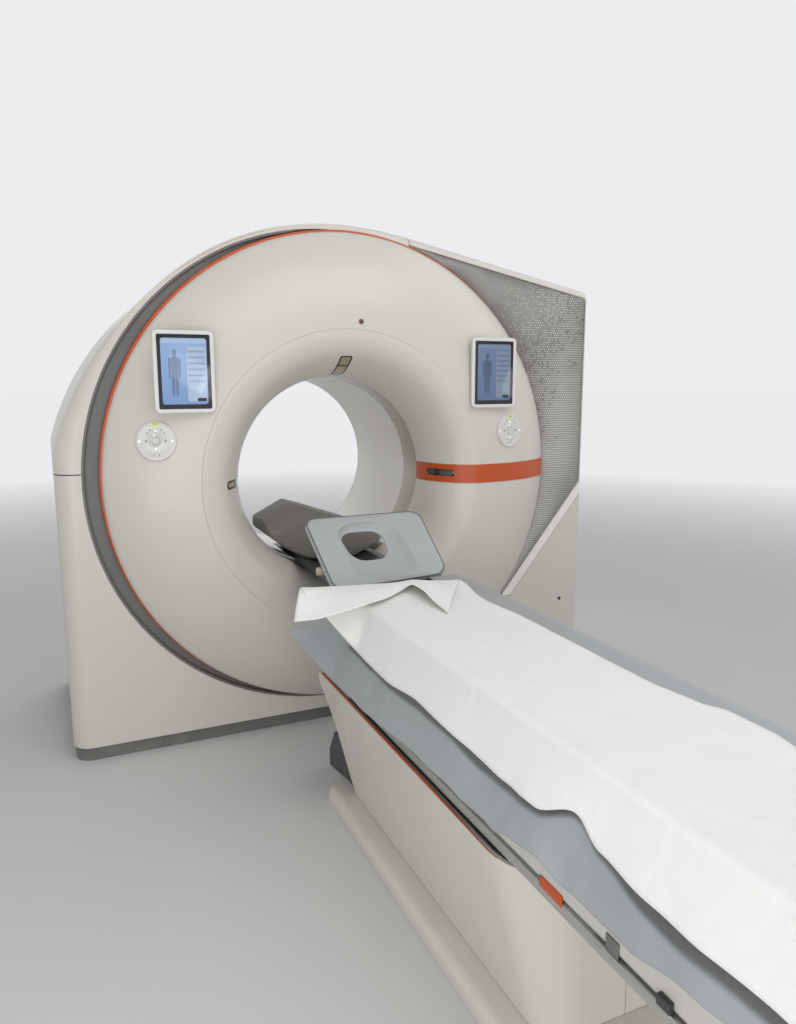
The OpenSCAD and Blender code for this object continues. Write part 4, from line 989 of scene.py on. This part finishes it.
# Hanging sides of the mattress cover
# The cover's coated fabric hangs over both sides of the table in loose folds. Its corner at the gantry end
# stands out stiffly. On the left, a strip just below the paper's hem is painted dark: painted shadow of the
# paper's edge.
flap_edge = ((-2.98, 0.600), (-2.70, 0.604), (-2.50, 0.588), (-2.35, 0.560), (-2.21, 0.553), (-2.17, 0.548),
             (-2.10, 0.570), (-2.02, 0.560), (-1.95, 0.542), (-1.80, 0.532), (-1.60, 0.529), (-1.42, 0.518),
             (-1.19, 0.500), (-0.95, 0.493), (-0.70, 0.495))
paper_hem = ((-2.96, 0.645), (-2.63, 0.648), (-2.37, 0.640), (-2.24, 0.648), (-2.155, 0.674), (-2.06, 0.640),
             (-1.82, 0.631), (-1.51, 0.635), (-1.31, 0.622), (-1.00, 0.625))
paper_shadow_width = ((-2.98, 0.036), (-2.60, 0.027), (-2.35, 0.027), (-2.23, 0.018), (-2.12, 0.013),
                (-2.00, 0.023), (-1.40, 0.021), (-0.95, 0.019))
pad_edge, pad_top, hem_x = 0.2105, 0.7566, 0.309


def ease(t):
    """A smooth step from 0 to 1."""
    t = max(0.0, min(1.0, t))
    return t * t * (3 - 2 * t)


def along_table(y, steps):
    """A value read from steps along the table, eased from one to the next."""
    for (y0, a), (y1, b) in zip(steps, steps[1:]):
        if y <= y1:
            return a + (b - a) * ease((y - y0) / (y1 - y0))
    return steps[-1][1]


def flap_point(side, s, y):
    """A point of the hanging side: s runs from the pad's top edge (0) to the hem (1), below 0 on the pad."""
    hem_z = along_table(y, flap_edge) if side < 0 else 0.545 + 0.02 * noise.noise(Vector((y * 2.3, 4.2, 0)))
    end = ease((y + 0.93) / 0.14) if side < 0 else 0
    turn, reach, drop = (0.10, 0.0125, 0.0125) if side < 0 else (0.22, 0.0500, 0.0120)
    if s < turn:
        a = max(s, 0) / turn * math.pi / 2
        return pad_edge + reach * math.sin(a) + 0.6 * min(s, 0), y, pad_top - drop + drop * math.cos(a)
    t = (s - turn) / (1 - turn)
    q = max(0, min(1, (y + 0.85) / 0.07))
    t *= 1 - 0.30 * (1 - math.sqrt(1 - q * q)) if side < 0 else 1
    fold = (noise.noise(Vector((y * 4.6, side * 3.1, 0.4))) * 0.020
            + noise.noise(Vector((y * 11.0 + t * 1.5, side * 5.7, 1.9))) * 0.008) * (
        0.35 + 0.65 * ease((-1.75 - y) / 0.35))
    x = (pad_edge + reach + (hem_x - pad_edge - reach) * t ** 1.25 + 0.095 * end * t
         + fold * t ** 1.2 + 0.006 * math.sin(t * 5.0 + y * 3.1) * t * (1 - t))
    z = (pad_top - drop - (pad_top - drop - hem_z) * t + 0.004 * noise.noise(Vector((y * 7.0, 2.2, t))) * t
         + 0.130 * end * t ** 2)
    return x, y + 0.05 * t ** 2 * end, z


def sheet_size(rows):
    """The greatest width and length of a grid of points, and its area."""
    wide, long = (max(sum((Vector(a) - Vector(b)).length for a, b in zip(line, line[1:])) for line in lines)
                  for lines in (rows, list(zip(*rows))))
    area = sum((Vector(b) - Vector(a)).cross(Vector(c) - Vector(a)).length
               for r0, r1 in zip(rows, rows[1:]) for a, b, c in zip(r0, r0[1:], r1))
    return wide, long, area


cover_fabric = coated("cover fabric", (0.335, 0.350, 0.358), 0.48, crumple=0.34, sheen=0.1)
tree = cover_fabric.node_tree
skin = tree.nodes["Principled BSDF"]
toned = skin.inputs["Base Color"].links[0].from_socket
# An attribute darkens the strip below the paper's hem: painted shadow of the paper's edge.
paper_shadow = wire(tree, "ShaderNodeAttribute", attribute_name="paper_shadow").outputs["Fac"]
tree.links.new(blend_colour(tree, paper_shadow, toned, (0.105, 0.110, 0.114)), skin.inputs["Base Color"])
for side, word, count, columns in ((-1, "left", 400, 68), (1, "right", 260, 34)):
    rows = []
    for i in range(count):
        y = -2.970 + 2.190 * i / (count - 1)
        row = [flap_point(side, -0.15 + 1.15 * j / columns, y) for j in range(columns + 1)]
        rows.append([(side * x, y, z) for x, y, z in row])
    flap = bmesh.new()
    loft(flap, rows)
    look_outward(flap, (side * 3, -1.9, 1.5))
    if side < 0:
        # The attribute marks the painted shadow under the paper's hem, of a width that changes along the
        # table.
        shade = flap.verts.layers.float.new("paper_shadow")
        for v in flap.verts:
            uneven = 1 + 0.3 * noise.noise(Vector((v.co.y * 8.0, 1.7, 0)))
            width = along_table(v.co.y, paper_shadow_width) * uneven
            v[shade] = (ease((v.co.z - along_table(v.co.y, paper_hem) + width) / 0.012 + 0.5)
                        * ease((-0.94 - v.co.y) / 0.06))
    wide, long, area = sheet_size(rows)
    piece = set_piece("cover_side_" + word, flap, "table_top", cover_fabric,
                      "cover_flaps" if side < 0 else (), crease=80, wall=0.0014)

# Paper sheet
# A sheet of thin white paper lies on the mattress and hangs a little over its left side. Its end is folded
# back at the gantry end.
paper_white = coated("white paper", (0.83, 0.825, 0.805), 0.75, shade=0.03, weave=300, crumple_scale=13,
                     crumple=0.34)
paper_edge = ((-2.96, 0.170), (-2.30, 0.172), (-2.19, 0.195), (-2.08, 0.197), (-2.02, 0.172), (-1.88, 0.156),
              (-1.32, 0.166), (-1.14, 0.156), (-0.89, 0.190))
fold_y, table_end, on_top = -0.890, -2.960, 0.72


def paper_point(s, y):
    """A point of the laid part: s runs from the right edge (0) over the top to the left hem (1)."""
    ripple = 0.0016 * abs(noise.noise(Vector((s * 6, y * 6, 3.3)))) + 0.0010 * abs(
        noise.noise(Vector((s * 14, y * 17, 1.3))))
    near = ease((y + 1.06) / 0.15)
    hang = max(0.0, (s - on_top) / (1 - on_top))
    if hang > 0:
        t_hem = (0.7455 - along_table(y, paper_hem)) / (0.7455 - along_table(y, flap_edge))
        x, _, z = flap_point(-1, hang * (0.1 + 0.9 * t_hem), y)
        x = -x - 0.0022 - hang ** 2 * (0.011 + 0.006 * noise.noise(Vector((y * 5.0, 0.7, 0))))
        z += 0.0018
    else:
        x, z = along_table(y, paper_edge) * (1 - s / on_top) - pad_edge * s / on_top, 0.7583 + ripple
    x += (-pad_edge - 0.184 * hang - x) * near if hang > 0 else 0
    z += (0.766 + 0.034 * s - z) * near
    return x, y, z


rows = [[paper_point(j / 50, table_end + (fold_y - table_end) * i / 239) for j in range(51)]
        for i in range(240)]
free_edge = ((0, (-0.030, -1.220, 0.764)), (0.10, (-0.035, -1.130, 0.778)), (0.22, (-0.030, -1.050, 0.792)),
             (0.34, (-0.045, -0.990, 0.802)), (0.42, (-0.090, -1.000, 0.784)),
             (0.50, (-0.155, -1.040, 0.778)), (0.60, (-0.235, -1.070, 0.776)),
             (0.72, (-0.310, -1.080, 0.766)), (0.86, (-0.390, -1.050, 0.742)),
             (1.01, (-0.455, -1.000, 0.728)))
ends = []
for j in range(51):
    for (s0, a), (s1, b) in zip(free_edge, free_edge[1:]):
        if s0 <= j / 50 < s1:
            ends.append(Vector(a).lerp(Vector(b), (j / 50 - s0) / (s1 - s0)))
for _ in range(2):
    ends = [ends[0]] + [(a + b + b + c) / 4 for a, b, c in zip(ends, ends[1:], ends[2:])] + [ends[-1]]
for i in range(1, 25):
    t = i / 24
    row = []
    for j, (start, stop) in enumerate(zip(rows[239], ends)):
        point = Vector(start).lerp(stop, t)
        point.z += 0.016 * math.sin(math.pi * t ** 0.7) * (0.6 + 0.4 * t) + 0.004 * t * (1 - t) * noise.noise(
            Vector((j * 0.21, t * 3.0, 5.1)))
        row.append(tuple(point))
    rows.append(row)
paper = bmesh.new()
loft(paper, rows)
look_outward(paper, (0, -2, 6))
wide, long, area = sheet_size(rows)
piece = set_piece("paper_cover", paper, "table_top", paper_white, "paper_sheet", crease=80,
                  wall=0.0004)

# Arm support
# A faceted foam block in dark grey fabric stands on the tray behind the head rest. Its underside follows
# the tray's round hollow.
foam_fabric = coated("foam fabric", (0.175, 0.165, 0.150), 0.85, shade=0.15, weave=420, crumple_scale=14,
                     crumple=0.15, sheen=0.25)
ridge = ((-0.292, 0.70), (-0.292, 0.866), (-0.160, 0.934), (-0.090, 0.913), (0.080, 0.849), (0.228, 0.800),
         (0.228, 0.70), (0.12, 0.66), (0.0, 0.66), (-0.12, 0.66), (-0.2, 0.68))
slant = ((-0.280, 0.70), (-0.280, 0.800), (-0.150, 0.867), (0.060, 0.799), (0.215, 0.769), (0.215, 0.70),
         (0.10, 0.66), (0.0, 0.66), (-0.12, 0.66))
tray_r, tray_gap = 0.3817, 0.006
block = bmesh.new()
for y, outline in ((-0.060, ridge), (0.160, ridge), (-0.108, slant), (0.208, slant)):
    for x, z in outline:
        block.verts.new((x, y, max(z, bore_z - math.sqrt(tray_r ** 2 - x * x) + tray_gap)))
hull = bmesh.ops.convex_hull(block, input=block.verts[:])
bmesh.ops.delete(block, geom=[v for v in hull["geom_interior"] if isinstance(v, bmesh.types.BMVert)],
                 context="VERTS")
bmesh.ops.dissolve_limit(block, angle_limit=math.radians(3), verts=block.verts[:], edges=block.edges[:])
look_outward(block)
bmesh.ops.bevel(block, geom=block.edges[:], offset=0.007, segments=3, affect="EDGES", profile=0.5,
                material=-1, clamp_overlap=True)
support = set_piece("arm_support_foam", block, "table_top", foam_fabric, "arm_support",
                    crease=60)

# Head rest
# A padded plate with an oval opening and dark piping, tilted up towards the gantry on a metal hinge. The
# cream plastic knob at its side sets the tilt.
rest_skin = coated("head rest skin", (0.41, 0.425, 0.427), 0.55, shade=0.05, weave=700, crumple_scale=5,
                   crumple=0.1, sheen=0.15)
tilt, half_wide, half_run = math.radians(28.8), 0.240, 0.1975


def on_rest(x, run, up):
    """A point of the tilted plate: run is along the plate from its lower edge, up is out of it."""
    return (x, -0.800 + run * math.cos(tilt) - up * math.sin(tilt),
            0.757 + run * math.sin(tilt) + up * math.cos(tilt))


def drawn_in(points, inset):
    """The plate's outline, smaller by an inset."""
    return [(x * (half_wide - inset) / half_wide, half_run + (run - half_run) * (half_run - inset) / half_run)
            for x, run in points]


def ring_between(first, second, t, up):
    """A ring of the plate on the way from one outline (0) to another (1)."""
    return [on_rest(a[0] * (1 - t) + b[0] * t, a[1] * (1 - t) + b[1] * t, up) for a, b in zip(first, second)]


outer = []
for x, run in rounded_outline(0.238, half_run, 0.045, 14, (-0.006, half_run)):
    cut = max(0, x - 0.12) * max(0, 0.13 - run) / 0.0144
    outer.append((x - 0.034 * cut, run + 0.034 * cut))
hole_x, hole_run, dish_depth = -0.040, 0.2425, 0.029
hole = [(hole_x + (x - hole_x) * (0.80 + 0.20 * (run - 0.16) / 0.165), run)
        for x, run in rounded_outline(0.090, 0.0825, 0.060, 14, (hole_x, hole_run))]
dish = rounded_outline(0.124, 0.164, 0.090, 14, (-0.020, 0.186))
face_edge = [(x * 0.95, half_run + (run - half_run) * 0.94) for x, run in outer]
rest = bmesh.new()
rings = []
for inset, up in ((0.012, -0.036), (0.004, -0.0335), (0.0, -0.028), (-0.001, -0.018), (0.0, -0.010),
                  (0.004, -0.0035), (0.012, -0.0004)):
    rings.append([on_rest(x, run, up) for x, run in drawn_in(outer, inset)])
rings += [ring_between(face_edge, dish, t, 0.0) for t in (0.25, 0.55, 0.85, 1.0)]
rings += [ring_between(dish, hole, t, -dish_depth * math.sin(math.pi / 2 * t) ** 0.75)
          for t in (0.04, 0.16, 0.32, 0.5, 0.7, 0.88, 0.96)]
for up in (-dish_depth, -0.0315, -0.0345):
    rings.append([on_rest(x, run, up) for x, run in hole])
rings.append([on_rest(hole_x + (x - hole_x) * 1.04, hole_run + (run - hole_run) * 1.04, -0.036)
              for x, run in hole])
(_, under), (_, hole_rim) = loft(rest, rings, closed=True)
bmesh.ops.bridge_loops(rest, edges=under + hole_rim)
look_outward(rest)
cushion = set_piece("head_rest_pad", rest, "head_rest", rest_skin, "head_rest", crease=80)
smooth = cushion.modifiers.new("smooth", "SUBSURF")
smooth.levels = smooth.render_levels = 1
piping = bmesh.new()
rings = [[on_rest(x, run, -0.0052 + 0.0024 * math.sin(a))
          for x, run in drawn_in(outer, 0.0025 - 0.0024 * math.cos(a))]
         for a in (math.pi * k / 3 for k in range(7))]
loft(piping, rings, closed=True)
bmesh.ops.remove_doubles(piping, verts=piping.verts[:], dist=1e-6)
look_outward(piping)
piping_skin = coated("piping", (0.12, 0.125, 0.128), 0.5, crumple=0.0)
set_piece("head_rest_piping", piping, "head_rest", piping_skin)
cream_plastic = grained("cream plastic", (0.55, 0.50, 0.36), 0.4, mottling=0.05)
hinge_y, hinge_z = -0.630, 0.782
knob = bmesh.new()
spin_up(knob, [(0, 0), (0.0135, 0), (0.015, 0.002), (0.015, 0.024), (0.0132, 0.0265), (0, 0.027)])
for v in knob.verts:
    a, r = math.atan2(v.co.y, v.co.x), math.hypot(v.co.x, v.co.y)
    if r > 0.0145 and math.cos(a * 12) < 0:
        v.co.x, v.co.y = v.co.x * 0.94, v.co.y * 0.94
knob.transform(Matrix.Translation((-0.225, hinge_y, hinge_z)) @ Matrix.Rotation(math.radians(-90), 4, "Y"))
set_piece("tilt_knob", knob, "head_rest", cream_plastic)
hinge = bmesh.new()
spin_up(hinge, [(0, -0.175), (0.006, -0.175), (0.006, 0.226), (0, 0.226)], 32)
hinge.transform(Matrix.Rotation(math.radians(-90), 4, "Y"))
for side in (-1, 1):
    add_box(hinge, (side * 0.118, 0.002, 0.004), (0.016, 0.034, 0.040), 0.005, 3)
hinge.transform(Matrix.Translation((0, hinge_y, hinge_z)))
set_piece("tilt_hinge", hinge, "head_rest", dark_metal)

# Floor and light
# A plain pale floor and large soft lamps, overhead, in front and at the left, stand for the room. Far from
# the object the floor fades into the pale backdrop.
ground = bmesh.new()
bmesh.ops.create_grid(ground, x_segments=1, y_segments=1, size=90)
bmesh.ops.translate(ground, verts=ground.verts[:], vec=(0, 0, -0.0005))
ground_mesh = bpy.data.meshes.new("floor")
ground.to_mesh(ground_mesh)
ground.free()
room_floor = bpy.data.objects.new("floor", ground_mesh)
bpy.context.scene.collection.objects.link(room_floor)
floor_paint, tree, skin = new_material("floor paint")
far = wire(tree, "ShaderNodeVectorMath", {0: wire(tree, "ShaderNodeTexCoord").outputs["Object"]},
           operation="LENGTH").outputs["Value"]
fade = stretch(tree, far, 2.6, 9.5)
tree.links.new(blend_colour(tree, fade, (0.62, 0.62, 0.61), (0.02, 0.02, 0.02)), skin.inputs["Base Color"])
tree.links.new(blend_colour(tree, fade, (0.0, 0.0, 0.0), (0.815, 0.825, 0.842)),
               skin.inputs["Emission Color"])
skin.inputs["Emission Strength"].default_value = 1.0
skin.inputs["Roughness"].default_value = 0.7
skin.inputs["Specular IOR Level"].default_value = 0.0
ground_mesh.materials.append(floor_paint)
for name, place, aim, wide, long, power in (
        ("ceiling front", (0.2, -2.8, 3.5), (0.1, -2.0, 0), 3.6, 2.4, 46),
        ("ceiling left", (-2.6, -0.4, 3.0), (0, -0.2, 0.8), 2.0, 2.6, 4),
        ("ceiling right", (2.6, -0.6, 3.1), (0, -0.2, 0.9), 2.0, 2.6, 14),
        ("ceiling back", (0.2, 2.6, 3.2), (0, 0.4, 0.9), 3.0, 2.0, 34),
        ("front wall", (-0.4, -5.6, 0.8), (-0.1, -0.4, 0.6), 4.0, 1.6, 42),
        ("left wall", (-2.0, -3.2, 0.85), (0, -2.2, 0.6), 2.2, 1.2, 19)):
    data = bpy.data.lights.new(name, "AREA")
    data.shape, data.size, data.size_y, data.energy = "RECTANGLE", wide, long, power
    lamp = bpy.data.objects.new(name, data)
    lamp.location = place
    lamp.rotation_euler = (Vector(aim) - Vector(place)).to_track_quat("-Z", "Y").to_euler()
    bpy.context.scene.collection.objects.link(lamp)
world = bpy.data.worlds.new("room")
world.use_nodes = True
bpy.context.scene.world = world
tree = world.node_tree
ray = wire(tree, "ShaderNodeLightPath").outputs
seen = maths(tree, "MAXIMUM", ray["Is Camera Ray"],
             maths(tree, "MAXIMUM", ray["Is Glossy Ray"], ray["Is Transmission Ray"]))
backdrop = tree.nodes["Background"]
backdrop.inputs["Color"].default_value = (0.97, 0.98, 1.0, 1)
tree.links.new(stretch(tree, seen, 0, 1, 0.42, 0.86), backdrop.inputs["Strength"])
bpy.context.scene.view_settings.view_transform = "Standard"
